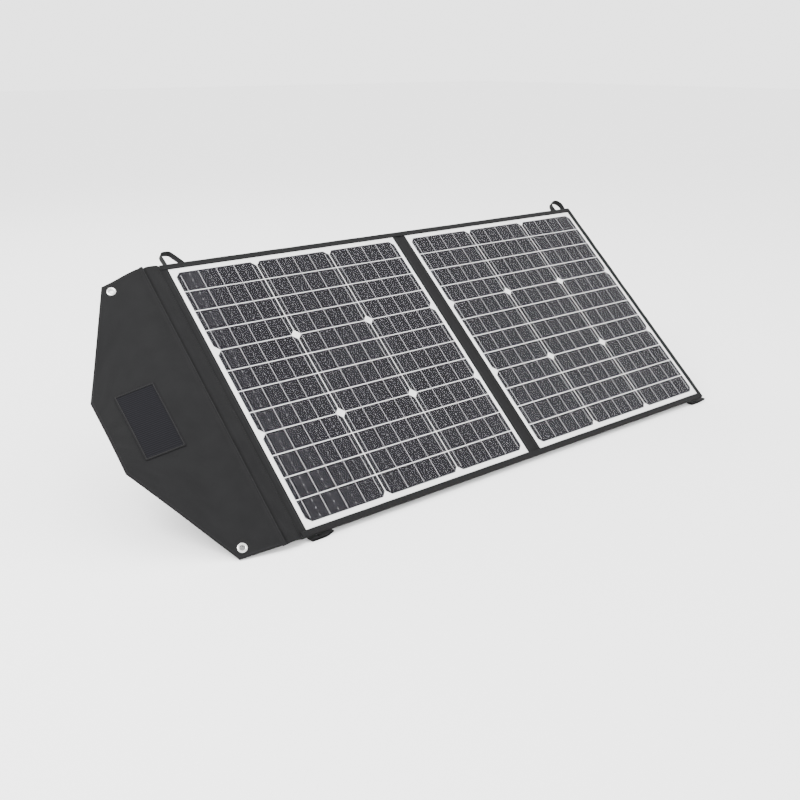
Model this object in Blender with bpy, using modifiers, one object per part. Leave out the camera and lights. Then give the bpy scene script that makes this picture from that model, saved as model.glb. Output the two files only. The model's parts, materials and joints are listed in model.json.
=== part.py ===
"""Folding two-module solar panel with a closing flap, standing on two rear kickstands.

Panel coordinates: x along the long edge, y up the slope of the panel, z out of its lit face.
z = 0 is the face of the clear film. All sizes are in metres.
"""

from math import asin, atan2, cos, hypot, pi, radians, sin

import bmesh
import bpy
from mathutils import Matrix, Vector

GAP = 0.0003

# Stance
TILT = radians(41.6)
LOOP_LIFT = 0.005
FLAP_CLEARANCE = 0.0008

# Laminate and cells
CELL_SIZE = 0.15675
CELL_CHAMFER = 0.0085
COLUMNS = 3
CELL_ROWS = 3
STRIPS_PER_CELL = 4
COLUMN_GAP = 0.0020
STRIP_GAP = 0.0019
SIDE_MARGIN = 0.007875
END_MARGIN = 0.009425
BUSBAR_PITCH = 0.03505
BUSBAR_WIDTH = 0.0012
FILM_THICKNESS = 0.0004
CELL_THICKNESS = 0.0004
BACKSHEET_THICKNESS = 0.0008
BOARD_THICKNESS = 0.0025

# Fabric
FABRIC = 0.0012
FLAP_FABRIC = 0.0008
FLAP_BOARD = 0.0010
BORDER = 0.0105
END_BORDER = 0.011
BINDING_WALL = 0.0017
BINDING_LEG = 0.0010
BINDING_PROUD = 0.0003
CENTRE_STRIP = 0.031
HINGE_SLACK = 0.019
FOLD_AXIS_HEIGHT = 0.0008
SEAM_RADIUS = 0.0015
LEFT_BORDER = 0.0135
GUSSET_WIDTH = 0.033

# Closing flap
FLAP_SHOULDER_REACH = 0.0685
FLAP_SHOULDER_INSET = 0.007
FLAP_TONGUE = 0.094
FLAP_TIP_HALF = 0.068
FLAP_BOARD_MARGIN = 0.025
PATCH_WIDTH = 0.0635
PATCH_HEIGHT = 0.122
PATCH_REACH = 0.096
PATCH_THICKNESS = 0.0014
POUCH_PATCH_MARGIN = 0.006
EYELET_SETBACK = 0.011
EYELET_INSET = 0.0145
EYELET_BORE_RADIUS = 0.0040
EYELET_BARREL = 0.0007
EYELET_FLANGE = 0.0040
EYELET_RIM = 0.0012

# Webbing loops
WEBBING_WIDTH = 0.012
WEBBING_THICKNESS = 0.0013
TOP_LOOP_INSET = 0.0190
TOP_LOOP_FEET = 0.033
TOP_LOOP_HEIGHT = 0.026
TOP_LOOP_LEAN = 0.004
LEFT_BOTTOM_LOOP_INSET = 0.0270
RIGHT_BOTTOM_LOOP_INSET = 0.0160
BOTTOM_LOOP_LENGTH = 0.048

# Kickstands
LEG_WIDTH = 0.140
LEG_SLOPE = radians(67.74)
LEG_THICKNESS = 0.004
LEG_OFFSET = 0.015
LEG_HINGE_HEIGHT = 0.070
LEG_STANDOFF = 0.0032
FOOT_HEIGHT = 0.016
FOOT_THICKNESS = 0.0075
HINGE_TAPE_HEIGHT = 0.022
STAY_WIDTH = 0.025
STAY_ON_LEG = 0.165
STAY_ANCHOR_INSET = 0.071
STAY_TAB = 0.022

# Back fittings
JUNCTION_WIDTH = 0.090
JUNCTION_HEIGHT = 0.055
JUNCTION_DEPTH = 0.012
JUNCTION_LID = 0.0035
JUNCTION_MIDDLE = 0.180
GLAND_RADIUS = 0.0052
GLAND_LENGTH = 0.014
POUCH_WIDTH = 0.140
POUCH_HEIGHT = 0.240
POUCH_REACH = 0.0825
CLOSED_CLEARANCE = 0.0016

# Levels below the film's face
CELL_TOP = -FILM_THICKNESS - GAP
CELL_BOTTOM = CELL_TOP - CELL_THICKNESS
BACKSHEET_TOP = CELL_BOTTOM - GAP
BACKSHEET_BOTTOM = BACKSHEET_TOP - BACKSHEET_THICKNESS
BOARD_TOP = BACKSHEET_BOTTOM - GAP
BOARD_BOTTOM = BOARD_TOP - BOARD_THICKNESS
COVER_TOP = BOARD_BOTTOM - GAP
COVER_BOTTOM = COVER_TOP - FABRIC
BINDING_BACK = COVER_BOTTOM - GAP - BINDING_LEG
BORDER_BOTTOM = BOARD_TOP + GAP
BORDER_TOP = BORDER_BOTTOM + FABRIC
SEAM_LEVEL = -SEAM_RADIUS

# Outlines
LAMINATE_WIDTH = COLUMNS * (CELL_SIZE + COLUMN_GAP) - COLUMN_GAP + 2 * SIDE_MARGIN
LAMINATE_HEIGHT = (
    CELL_ROWS * CELL_SIZE + (CELL_ROWS * STRIPS_PER_CELL - 1) * STRIP_GAP + 2 * END_MARGIN
)
BODY_HALF_HEIGHT = LAMINATE_HEIGHT / 2 + END_BORDER
COVER_HALF_HEIGHT = BODY_HALF_HEIGHT - BINDING_WALL - GAP
MODULE_CENTRE = (LAMINATE_WIDTH + CENTRE_STRIP) / 2
HINGE_SIDE = MODULE_CENTRE - HINGE_SLACK / 2 - GAP
CREASE_REACH = LAMINATE_WIDTH / 2 + LEFT_BORDER
LEFT_SIDE = CREASE_REACH - SEAM_RADIUS - 0.0004
RIGHT_SIDE = LAMINATE_WIDTH / 2 + BORDER - BINDING_WALL
FLAP_SHOULDER_HALF = BODY_HALF_HEIGHT - FLAP_SHOULDER_INSET
FLAP_TIP_REACH = FLAP_SHOULDER_REACH + FLAP_TONGUE
FLAP_FACE = FLAP_BOARD / 2 + GAP + FLAP_FABRIC
EYELET_REACH = FLAP_SHOULDER_REACH - EYELET_SETBACK
EYELET_HALF_SPAN = FLAP_SHOULDER_HALF - EYELET_INSET
STAY_ANCHOR_HEIGHT = STAY_ANCHOR_INSET - BODY_HALF_HEIGHT
POUCH_FACE = 2 * FOLD_AXIS_HEIGHT - COVER_BOTTOM + GAP
CLOSED_FLAP = GUSSET_WIDTH + SEAM_LEVEL - FLAP_FACE - GAP - PATCH_THICKNESS
POUCH_DEPTH = CLOSED_FLAP - CLOSED_CLEARANCE - PATCH_THICKNESS - GAP - POUCH_FACE
STANCE_HEIGHT = LOOP_LIFT - BINDING_BACK * cos(TILT)

MATERIALS = {
    "black_fabric": ((0.030, 0.031, 0.034), 0.85, 0.0),
    "binding": ((0.012, 0.012, 0.013), 0.80, 0.0),
    "webbing": ((0.010, 0.010, 0.011), 0.70, 0.0),
    "stiffener": ((0.12, 0.12, 0.12), 0.60, 0.0),
    "white_backsheet": ((0.85, 0.86, 0.86), 0.45, 0.0),
    "silicon_cell": ((0.045, 0.047, 0.060), 0.35, 0.0),
    "clear_film": ((0.75, 0.78, 0.80), 0.30, 0.0),
    "hook_and_loop": ((0.018, 0.020, 0.027), 0.95, 0.0),
    "eyelet_metal": ((0.80, 0.80, 0.79), 0.22, 1.0),
    "black_plastic": ((0.018, 0.018, 0.019), 0.42, 0.0),
    "foot_rubber": ((0.022, 0.022, 0.022), 0.75, 0.0),
}


def clear_scene():
    for obj in list(bpy.data.objects):
        bpy.data.objects.remove(obj, do_unlink=True)


def new_collection(name):
    collection = bpy.data.collections.new(name)
    bpy.context.scene.collection.children.link(collection)
    return collection


def make_material(name):
    colour, roughness, metallic = MATERIALS[name]
    material = bpy.data.materials.new(name)
    material.use_nodes = True
    shader = material.node_tree.nodes["Principled BSDF"]
    shader.inputs["Base Color"].default_value = (*colour, 1.0)
    shader.inputs["Roughness"].default_value = roughness
    shader.inputs["Metallic"].default_value = metallic
    return material


def empty(name, parent=None, location=(0, 0, 0), rotation=(0, 0, 0)):
    obj = bpy.data.objects.new(name, None)
    PARTS.objects.link(obj)
    obj.parent = parent
    obj.location = location
    obj.rotation_euler = rotation
    return obj


def add(name, data, slot, parent, location=(0, 0, 0), rotation=(0, 0, 0)):
    obj = bpy.data.objects.new(name, data)
    data.materials.append(FINISHES[slot])
    PARTS.objects.link(obj)
    obj.parent = parent
    obj.location = location
    obj.rotation_euler = rotation
    return obj


def bevel(obj, width, segments=1):
    modifier = obj.modifiers.new("Rounded edges", "BEVEL")
    modifier.width = width
    modifier.segments = segments
    modifier.limit_method = "ANGLE"
    return obj


def box(name, slot, parent, low, high):
    """A box between two corners in its parent's coordinates."""
    size = Vector(high) - Vector(low)
    mesh = bpy.data.meshes.new(name)
    shape = bmesh.new()
    bmesh.ops.create_cube(shape, size=1.0, matrix=Matrix.Diagonal((*size, 1.0)))
    shape.to_mesh(mesh)
    shape.free()
    return add(name, mesh, slot, parent, (Vector(low) + Vector(high)) / 2)


def turns_left(outline):
    """Whether an outline runs counterclockwise."""
    following = outline[1:] + outline[:1]
    return sum(x * v - u * y for (x, y), (u, v) in zip(outline, following)) > 0


def flat(name, slot, parent, outlines, bottom, top):
    """A plate of one outline, with any further outlines as holes, between two levels."""
    curve = bpy.data.curves.new(name, "CURVE")
    curve.dimensions = "2D"
    curve.fill_mode = "BOTH"
    curve.extrude = (top - bottom) / 2
    for index, outline in enumerate(outlines):
        if turns_left(outline) != (index == 0):
            outline = list(reversed(outline))
        spline = curve.splines.new("POLY")
        spline.points.add(len(outline) - 1)
        for point, (x, y) in zip(spline.points, outline):
            point.co = (x, y, 0, 1)
        spline.use_cyclic_u = True
    return add(name, curve, slot, parent, (0, 0, (top + bottom) / 2))


def across(name, slot, parent, profile, start, end):
    """A profile in the panel's y and z, drawn out along x from start to end."""
    obj = flat(name, slot, parent, [profile], 0, end - start)
    obj.location = ((start + end) / 2, 0, 0)
    obj.rotation_euler = (pi / 2, 0, pi / 2)
    return obj


def band(name, slot, parent, path, width, thickness, closed=False):
    """Webbing that follows a flat path and stands on its edge, centred on the path's plane."""
    curve = bpy.data.curves.new(name, "CURVE")
    curve.dimensions = "2D"
    curve.fill_mode = "NONE"
    curve.extrude = width / 2
    spline = curve.splines.new("POLY")
    spline.points.add(len(path) - 1)
    for point, (x, y) in zip(spline.points, path):
        point.co = (x, y, 0, 1)
    spline.use_cyclic_u = closed
    obj = add(name, curve, slot, parent)
    shell = obj.modifiers.new("Webbing thickness", "SOLIDIFY")
    shell.thickness = thickness
    shell.offset = 0.0
    return obj


def turned(name, slot, parent, profile, location, steps=20):
    """A ring turned about its own z from a closed profile of radius and height."""
    mesh = bpy.data.meshes.new(name)
    shape = bmesh.new()
    corners = [shape.verts.new((radius, 0, height)) for radius, height in profile]
    for start, end in zip(corners, corners[1:] + corners[:1]):
        shape.edges.new((start, end))
    shape.to_mesh(mesh)
    shape.free()
    obj = add(name, mesh, slot, parent, location)
    screw = obj.modifiers.new("Turned ring", "SCREW")
    screw.axis = "Z"
    screw.steps = steps
    screw.render_steps = steps
    screw.use_merge_vertices = True
    screw.merge_threshold = 0.00001
    return obj


def arc(centre, radius, start, end, steps):
    return [
        (centre[0] + radius * cos(radians(start + (end - start) * i / steps)),
         centre[1] + radius * sin(radians(start + (end - start) * i / steps)))
        for i in range(steps + 1)
    ]


def circle(centre, radius, sides=16):
    return arc(centre, radius, 0, 360, sides)[:-1]


def rectangle(left, right, bottom, top):
    return [(left, bottom), (right, bottom), (right, top), (left, top)]


def cell_string_outlines(strip_pitch):
    """One string of cut cells seen from the front, joined across each gap by its inner ribbons."""
    half = CELL_SIZE / 2
    strips = CELL_ROWS * STRIPS_PER_CELL
    strip_height = strip_pitch - STRIP_GAP
    bottom = -(strips * strip_pitch - STRIP_GAP) / 2
    ribbons = [BUSBAR_PITCH * step for step in (-1, 0, 1)]
    outer_ribbon = ribbons[-1] + BUSBAR_WIDTH / 2
    right = []
    holes = []
    for strip in range(strips):
        low = bottom + strip * strip_pitch
        high = low + strip_height
        if strip > 0:
            right += [(outer_ribbon, low - STRIP_GAP), (outer_ribbon, low)]
            for left_ribbon, right_ribbon in zip(ribbons, ribbons[1:]):
                holes.append(rectangle(left_ribbon + BUSBAR_WIDTH / 2, right_ribbon - BUSBAR_WIDTH / 2,
                                       low - STRIP_GAP, low))
        if strip % STRIPS_PER_CELL == 0:
            right += [(half - CELL_CHAMFER, low), (half, low + CELL_CHAMFER)]
        else:
            right.append((half, low))
        if strip % STRIPS_PER_CELL == STRIPS_PER_CELL - 1:
            right += [(half, high - CELL_CHAMFER), (half - CELL_CHAMFER, high)]
        else:
            right.append((half, high))
    left = [(-x, y) for x, y in reversed(right)]
    return [right + left] + holes


def build_binding(name, parent, direction, start, end):
    """Folded tape around the top (direction 1) or bottom (direction -1) edge of a module."""
    edge = BODY_HALF_HEIGHT
    front_leg = LAMINATE_HEIGHT / 2 + 0.0005
    back_leg = BODY_HALF_HEIGHT - 0.012
    wall = edge - BINDING_WALL
    profile = [
        (front_leg, BINDING_PROUD - BINDING_LEG), (front_leg, BINDING_PROUD), (edge, BINDING_PROUD),
        (edge, BINDING_BACK), (back_leg, BINDING_BACK), (back_leg, BINDING_BACK + BINDING_LEG),
        (wall, BINDING_BACK + BINDING_LEG), (wall, BINDING_PROUD - BINDING_LEG),
    ]
    across(name, "binding", parent, [(direction * y, z) for y, z in profile], start, end)


def build_side_binding(parent):
    """Folded tape around the right edge, between the top and bottom bindings."""
    edge = RIGHT_SIDE + BINDING_WALL
    front_leg = LAMINATE_WIDTH / 2 + 0.0005
    back_leg = edge - 0.012
    half = BODY_HALF_HEIGHT - 0.012 - GAP
    profile = [
        (front_leg, BINDING_PROUD - BINDING_LEG), (front_leg, BINDING_PROUD), (edge, BINDING_PROUD),
        (edge, BINDING_BACK), (back_leg, BINDING_BACK), (back_leg, BINDING_BACK + BINDING_LEG),
        (RIGHT_SIDE + GAP, BINDING_BACK + BINDING_LEG), (RIGHT_SIDE + GAP, BINDING_PROUD - BINDING_LEG),
    ]
    obj = flat("right_side_binding", "binding", parent, [profile], 0, 2 * half)
    obj.location = (0, 0, 0)
    obj.rotation_euler = (pi / 2, 0, 0)


def build_laminate(side, parent):
    """White backsheet, three strings of cut cells and the clear front film."""
    half_width = LAMINATE_WIDTH / 2
    half_height = LAMINATE_HEIGHT / 2
    box(f"{side}_white_backsheet", "white_backsheet", parent,
        (-half_width, -half_height, BACKSHEET_BOTTOM), (half_width, half_height, BACKSHEET_TOP))
    strip_pitch = CELL_SIZE / STRIPS_PER_CELL + STRIP_GAP
    outlines = cell_string_outlines(strip_pitch)
    for column in range(COLUMNS):
        string = flat(f"{side}_cell_string_{column + 1}", "silicon_cell", parent, outlines,
                      CELL_BOTTOM, CELL_TOP)
        string.location.x = (column - (COLUMNS - 1) / 2) * (CELL_SIZE + COLUMN_GAP)
    box(f"{side}_clear_film", "clear_film", parent,
        (-half_width, -half_height, -FILM_THICKNESS), (half_width, half_height, 0))


def build_module_body(side, parent, left, right):
    """Stiffener board between a rear cover and a front border that frames the laminate."""
    half = COVER_HALF_HEIGHT
    window = rectangle(-LAMINATE_WIDTH / 2 - GAP, LAMINATE_WIDTH / 2 + GAP,
                       -LAMINATE_HEIGHT / 2 - GAP, LAMINATE_HEIGHT / 2 + GAP)
    flat(f"{side}_front_border", "black_fabric", parent,
         [rectangle(left, right, -half, half), window], BORDER_BOTTOM, BORDER_TOP)
    box(f"{side}_stiffener_board", "stiffener", parent,
        (left, -half, BOARD_BOTTOM), (right, half, BOARD_TOP - GAP))
    box(f"{side}_rear_cover", "black_fabric", parent,
        (left, -half, COVER_BOTTOM), (right, half, COVER_TOP))
    build_binding(f"{side}_top_binding", parent, 1, left, right)
    build_binding(f"{side}_bottom_binding", parent, -1, left, right)


def build_centre_hinge(parent):
    """Fabric strip between the two stiffened modules, which bends along its middle."""
    half = HINGE_SLACK / 2
    box("centre_hinge_strip", "black_fabric", parent,
        (-half, -BODY_HALF_HEIGHT, BORDER_BOTTOM), (half, BODY_HALF_HEIGHT, BORDER_TOP))


def build_seam(name, parent):
    """Rolled fabric along a fold line, centred on the fold's axis."""
    profile = circle((0, 0), SEAM_RADIUS, 8)
    seam = flat(name, "black_fabric", parent, [profile], 0, 2 * BODY_HALF_HEIGHT)
    seam.location = (0, 0, 0)
    seam.rotation_euler = (pi / 2, 0, 0)


def build_gusset(parent):
    """Spine between the two fold lines, as deep as the folded pack."""
    start = -SEAM_RADIUS - GAP
    end = -GUSSET_WIDTH + SEAM_RADIUS + GAP
    half = BODY_HALF_HEIGHT
    outer = GAP / 2 + FABRIC
    box("spine_front_fabric", "black_fabric", parent, (end, -half, GAP / 2), (start, half, outer))
    box("spine_rear_fabric", "black_fabric", parent, (end, -half, -outer), (start, half, -GAP / 2))


def flap_outline(margin, root):
    """Six-sided flap, narrowing from the full height at the fold to its tongue."""
    narrowing = FLAP_SHOULDER_HALF - FLAP_TIP_HALF
    taper = hypot(FLAP_TONGUE, narrowing)
    slant = margin * (taper - FLAP_TONGUE) / narrowing
    tip_slant = margin * (taper - narrowing) / FLAP_TONGUE
    upper = [
        (-root, BODY_HALF_HEIGHT - margin),
        (-FLAP_SHOULDER_REACH + slant, FLAP_SHOULDER_HALF - margin),
        (-FLAP_TIP_REACH + margin, FLAP_TIP_HALF - tip_slant),
    ]
    lower = [(x, -y) for x, y in reversed(upper)]
    return upper + lower


def build_flap(parent):
    """Closing flap: two fabric faces over a thin board, with the fastening patch on its lit side."""
    root = SEAM_RADIUS + 0.0005
    holes = [circle((-EYELET_REACH, end * EYELET_HALF_SPAN), EYELET_BORE_RADIUS + EYELET_BARREL + GAP)
             for end in (1, -1)]
    half_board = FLAP_BOARD / 2
    front = half_board + GAP
    board = flap_outline(FLAP_BOARD_MARGIN, root + 0.004)
    flat("flap_front_fabric", "black_fabric", parent, [flap_outline(0, root)] + holes,
         front, FLAP_FACE)
    flat("flap_board", "stiffener", parent, [board], -half_board, half_board)
    flat("flap_rear_fabric", "black_fabric", parent, [flap_outline(0, root)] + holes,
         -FLAP_FACE, -front)
    face = FLAP_FACE + GAP
    patch = box("flap_hook_patch", "hook_and_loop", parent,
                (-PATCH_REACH - PATCH_WIDTH / 2, -PATCH_HEIGHT / 2, face),
                (-PATCH_REACH + PATCH_WIDTH / 2, PATCH_HEIGHT / 2, face + PATCH_THICKNESS))
    bevel(patch, 0.0004)
    for label, end in (("upper", 1), ("lower", -1)):
        build_eyelet(label, parent, (-EYELET_REACH, end * EYELET_HALF_SPAN, 0), face)


def build_eyelet(label, parent, location, face):
    """Flanged barrel through the flap, and the washer that it is set against."""
    bore = EYELET_BORE_RADIUS
    barrel = bore + EYELET_BARREL
    outer = bore + EYELET_FLANGE
    ring = [
        (outer, face), (barrel, face), (barrel, -face - EYELET_RIM), (bore, -face - EYELET_RIM),
        (bore, face + 0.5 * EYELET_RIM), (bore + 0.0006, face + EYELET_RIM),
        (outer - 0.0018, face + EYELET_RIM), (outer - 0.0003, face + 0.5 * EYELET_RIM),
    ]
    turned(f"{label}_eyelet_ring", "eyelet_metal", parent, ring, location)
    washer = [
        (outer - 0.0004, -face), (outer - 0.0004, -face - 0.0006),
        (outer - 0.0010, -face - 0.0010), (barrel + GAP, -face - 0.0010), (barrel + GAP, -face),
    ]
    turned(f"{label}_eyelet_washer", "eyelet_metal", parent, washer, location)


def build_top_loop(name, parent, middle, lean):
    """Webbing loop that stands up from the top edge; lean moves its crown along the edge."""
    base = BODY_HALF_HEIGHT + GAP + WEBBING_THICKNESS / 2
    half = TOP_LOOP_FEET / 2 - WEBBING_THICKNESS / 2
    crown = TOP_LOOP_HEIGHT - WEBBING_THICKNESS
    path = []
    for step in range(13):
        angle = pi * step / 12
        squareness = 0.75
        across_edge = half * (1 if cos(angle) > 0 else -1) * abs(cos(angle)) ** squareness
        rise = crown * sin(angle) ** squareness
        path.append((middle + across_edge + lean * rise / crown, base + rise))
    loop = band(name, "webbing", parent, path, WEBBING_WIDTH, WEBBING_THICKNESS)
    loop.location.z = BINDING_PROUD + GAP - WEBBING_WIDTH / 2


def build_bottom_loop(name, parent, middle):
    """Webbing loop pressed flat between the bottom edge and the ground."""
    height = LOOP_LIFT - GAP - WEBBING_THICKNESS
    radius = height / 2
    straight = BOTTOM_LOOP_LENGTH / 2 - radius - WEBBING_THICKNESS / 2
    path = arc((straight, 0), radius, -90, 90, 5) + arc((-straight, 0), radius, 90, 270, 5)
    loop = band(name, "webbing", parent, path, WEBBING_WIDTH, WEBBING_THICKNESS, closed=True)
    drop = STANCE_HEIGHT - (LOOP_LIFT - GAP) / 2
    forward = -BINDING_BACK * sin(TILT)
    loop.location = (
        middle,
        -BODY_HALF_HEIGHT + forward * cos(TILT) - drop * sin(TILT),
        -forward * sin(TILT) - drop * cos(TILT),
    )
    loop.rotation_euler = (pi / 2 - TILT, 0, 0)


def flap_droop():
    """Angle at which the hanging flap's lower corner stays just clear of the ground."""
    drop = (STANCE_HEIGHT + FLAP_SHOULDER_INSET * sin(TILT) - FLAP_CLEARANCE) / cos(TILT) + SEAM_LEVEL
    reach = hypot(FLAP_SHOULDER_REACH, FLAP_FACE)
    return asin(drop / reach) - atan2(FLAP_FACE, FLAP_SHOULDER_REACH)


def leg_length():
    """Length at which the sloping leg's round foot meets the ground."""
    hinge_height = (
        STANCE_HEIGHT + (LEG_HINGE_HEIGHT + BODY_HALF_HEIGHT) * sin(TILT) + hinge_level() * cos(TILT)
    )
    radius = FOOT_THICKNESS / 2
    return (hinge_height - radius) / sin(LEG_SLOPE) + radius


def hinge_level():
    return COVER_BOTTOM - LEG_STANDOFF - LEG_THICKNESS / 2


def build_kickstand(side, module, middle):
    """Stiff leg hinged on the rear cover by stitched tape and stopped by a webbing stay."""
    level = hinge_level()
    hinge = (middle, LEG_HINGE_HEIGHT, level)
    radius = SEAM_RADIUS
    tape_bottom = COVER_BOTTOM - GAP - FABRIC
    tape = (
        [(HINGE_TAPE_HEIGHT, COVER_BOTTOM - GAP - level), (HINGE_TAPE_HEIGHT, tape_bottom - level),
         (0.0050, tape_bottom - level)]
        + arc((0, 0), radius, 20, -220, 8)
        + [(0.0030, COVER_BOTTOM - GAP - level)]
    )
    tape_holder = empty(f"{side}_hinge_tape_line", module, hinge)
    across(f"{side}_kickstand_hinge_tape", "webbing", tape_holder, tape, -LEG_WIDTH / 2, LEG_WIDTH / 2)

    angle = pi - TILT - LEG_SLOPE
    length = leg_length()
    axis = empty(f"{side}_kickstand_axis", module, hinge, (angle, 0, 0))
    half = LEG_THICKNESS / 2
    start = radius + 0.0006
    foot_top = length - FOOT_HEIGHT
    foot_radius = FOOT_THICKNESS / 2
    tongue = length - FOOT_THICKNESS
    leg = box(f"{side}_kickstand_leg", "black_fabric", axis,
              (-LEG_WIDTH / 2, -tongue + GAP, -half), (LEG_WIDTH / 2, -start, half))
    bevel(leg, 0.0006)
    inner = half + GAP
    foot = (
        [(-foot_top, inner), (-foot_top, foot_radius)]
        + arc((-length + foot_radius, 0), foot_radius, 90, 270, 8)
        + [(-foot_top, -foot_radius), (-foot_top, -inner), (-tongue, -inner), (-tongue, inner)]
    )
    across(f"{side}_kickstand_foot", "foot_rubber", axis, foot, -LEG_WIDTH / 2, LEG_WIDTH / 2)
    build_stay(side, module, middle, angle)


def build_stay(side, module, middle, angle):
    """Webbing stay, taut from the rear cover to the leg, with a sewn tab at each end."""
    half = WEBBING_THICKNESS / 2
    level = hinge_level()

    def on_leg(reach):
        face = LEG_THICKNESS / 2 + GAP + half
        y = LEG_HINGE_HEIGHT - reach * cos(angle) - face * sin(angle)
        z = level - reach * sin(angle) + face * cos(angle)
        return (y, z)

    cover_line = COVER_BOTTOM - GAP - half
    path = [
        (STAY_ANCHOR_HEIGHT - STAY_TAB, cover_line), (STAY_ANCHOR_HEIGHT, cover_line),
        on_leg(STAY_ON_LEG), on_leg(STAY_ON_LEG + STAY_TAB),
    ]
    stay = band(f"{side}_kickstand_stay", "webbing", module, path, STAY_WIDTH, WEBBING_THICKNESS)
    stay.location.x = middle
    stay.rotation_euler = (pi / 2, 0, pi / 2)


def build_junction_box(side, module, middle):
    """Low box over the laminate's terminals, with a lid and a blind cable gland."""
    front = COVER_BOTTOM - GAP
    back = front - JUNCTION_DEPTH
    half_width = JUNCTION_WIDTH / 2
    low = JUNCTION_MIDDLE - JUNCTION_HEIGHT / 2
    high = JUNCTION_MIDDLE + JUNCTION_HEIGHT / 2
    body = box(f"{side}_junction_box", "black_plastic", module,
               (middle - half_width, low, back), (middle + half_width, high, front))
    bevel(body, 0.0015)
    lid = box(f"{side}_junction_box_lid", "black_plastic", module,
              (middle - half_width - 0.001, low - 0.001, back - GAP - JUNCTION_LID),
              (middle + half_width + 0.001, high + 0.001, back - GAP))
    bevel(lid, 0.0012)
    gland = flat(f"{side}_cable_gland", "black_plastic", module, [circle((0, 0), GLAND_RADIUS, 12)],
                 0, GLAND_LENGTH)
    gland.location = (middle, low - GAP - GLAND_LENGTH / 2, front - JUNCTION_DEPTH / 2)
    gland.rotation_euler = (pi / 2, 0, 0)


def build_pouch(module):
    """Flat accessory pouch on the right module's back, with the patch that the flap closes on."""
    middle = LAMINATE_WIDTH / 2 + BORDER - POUCH_REACH
    front = COVER_BOTTOM - GAP
    back = front - POUCH_DEPTH
    pouch = box("accessory_pouch", "black_fabric", module,
                (middle - POUCH_WIDTH / 2, -POUCH_HEIGHT / 2, back),
                (middle + POUCH_WIDTH / 2, POUCH_HEIGHT / 2, front))
    bevel(pouch, 0.006, 2)
    patch_middle = CREASE_REACH - PATCH_REACH
    half_width = PATCH_WIDTH / 2 + POUCH_PATCH_MARGIN
    half_height = PATCH_HEIGHT / 2 + POUCH_PATCH_MARGIN
    patch = box("pouch_loop_patch", "hook_and_loop", module,
                (patch_middle - half_width, -half_height, back - GAP - PATCH_THICKNESS),
                (patch_middle + half_width, half_height, back - GAP))
    bevel(patch, 0.0004)


def stand_on_floor(panel):
    """Put the middle of the object's box over the origin, with its lowest point at z = 0."""
    bpy.context.view_layer.update()
    graph = bpy.context.evaluated_depsgraph_get()
    corners = []
    for obj in PARTS.objects:
        if obj.type == "EMPTY":
            continue
        evaluated = obj.evaluated_get(graph)
        mesh = evaluated.to_mesh()
        corners += [evaluated.matrix_world @ vertex.co for vertex in mesh.vertices]
        evaluated.to_mesh_clear()
    low = Vector(min(corner[i] for corner in corners) for i in range(3))
    high = Vector(max(corner[i] for corner in corners) for i in range(3))
    panel.location -= Vector(((low.x + high.x) / 2, (low.y + high.y) / 2, low.z))


def build():
    panel = empty("panel_plane", None, (0, 0, 0), (TILT, 0, 0))

    left = empty("left_module", panel, (-MODULE_CENTRE, 0, 0))
    build_laminate("left", left)
    build_module_body("left", left, -LEFT_SIDE, HINGE_SIDE)
    build_kickstand("left", left, LEG_OFFSET)
    build_junction_box("left", left, LEG_OFFSET)
    top_loop_reach = LAMINATE_WIDTH / 2 - TOP_LOOP_INSET
    build_top_loop("left_top_loop", left, -top_loop_reach, -TOP_LOOP_LEAN)
    build_bottom_loop("left_bottom_loop", left, -LAMINATE_WIDTH / 2 + LEFT_BOTTOM_LOOP_INSET)

    fold_axis = empty("centre_fold_axis", panel, (0, 0, FOLD_AXIS_HEIGHT))
    right = empty("right_module", fold_axis, (MODULE_CENTRE, 0, -FOLD_AXIS_HEIGHT))
    build_laminate("right", right)
    build_module_body("right", right, -HINGE_SIDE, RIGHT_SIDE)
    build_side_binding(right)
    build_kickstand("right", right, -LEG_OFFSET)
    build_junction_box("right", right, -LEG_OFFSET)
    build_pouch(right)
    build_top_loop("right_top_loop", right, top_loop_reach, TOP_LOOP_LEAN)
    build_bottom_loop("right_bottom_loop", right, LAMINATE_WIDTH / 2 - RIGHT_BOTTOM_LOOP_INSET)

    build_centre_hinge(panel)

    inner_axis = empty("spine_inner_axis", panel, (-MODULE_CENTRE - CREASE_REACH, 0, SEAM_LEVEL))
    build_seam("spine_inner_seam", inner_axis)
    build_gusset(inner_axis)
    outer_axis = empty("spine_outer_axis", inner_axis, (-GUSSET_WIDTH, 0, 0), (0, -flap_droop(), 0))
    build_seam("spine_outer_seam", outer_axis)
    build_flap(outer_axis)

    stand_on_floor(panel)


clear_scene()
PARTS = new_collection("Folding solar panel")
FINISHES = {name: make_material(name) for name in MATERIALS}
build()
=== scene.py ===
import json
from math import cos, pi, radians, sin

import bpy
from mathutils import Matrix, Vector, noise


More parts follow.
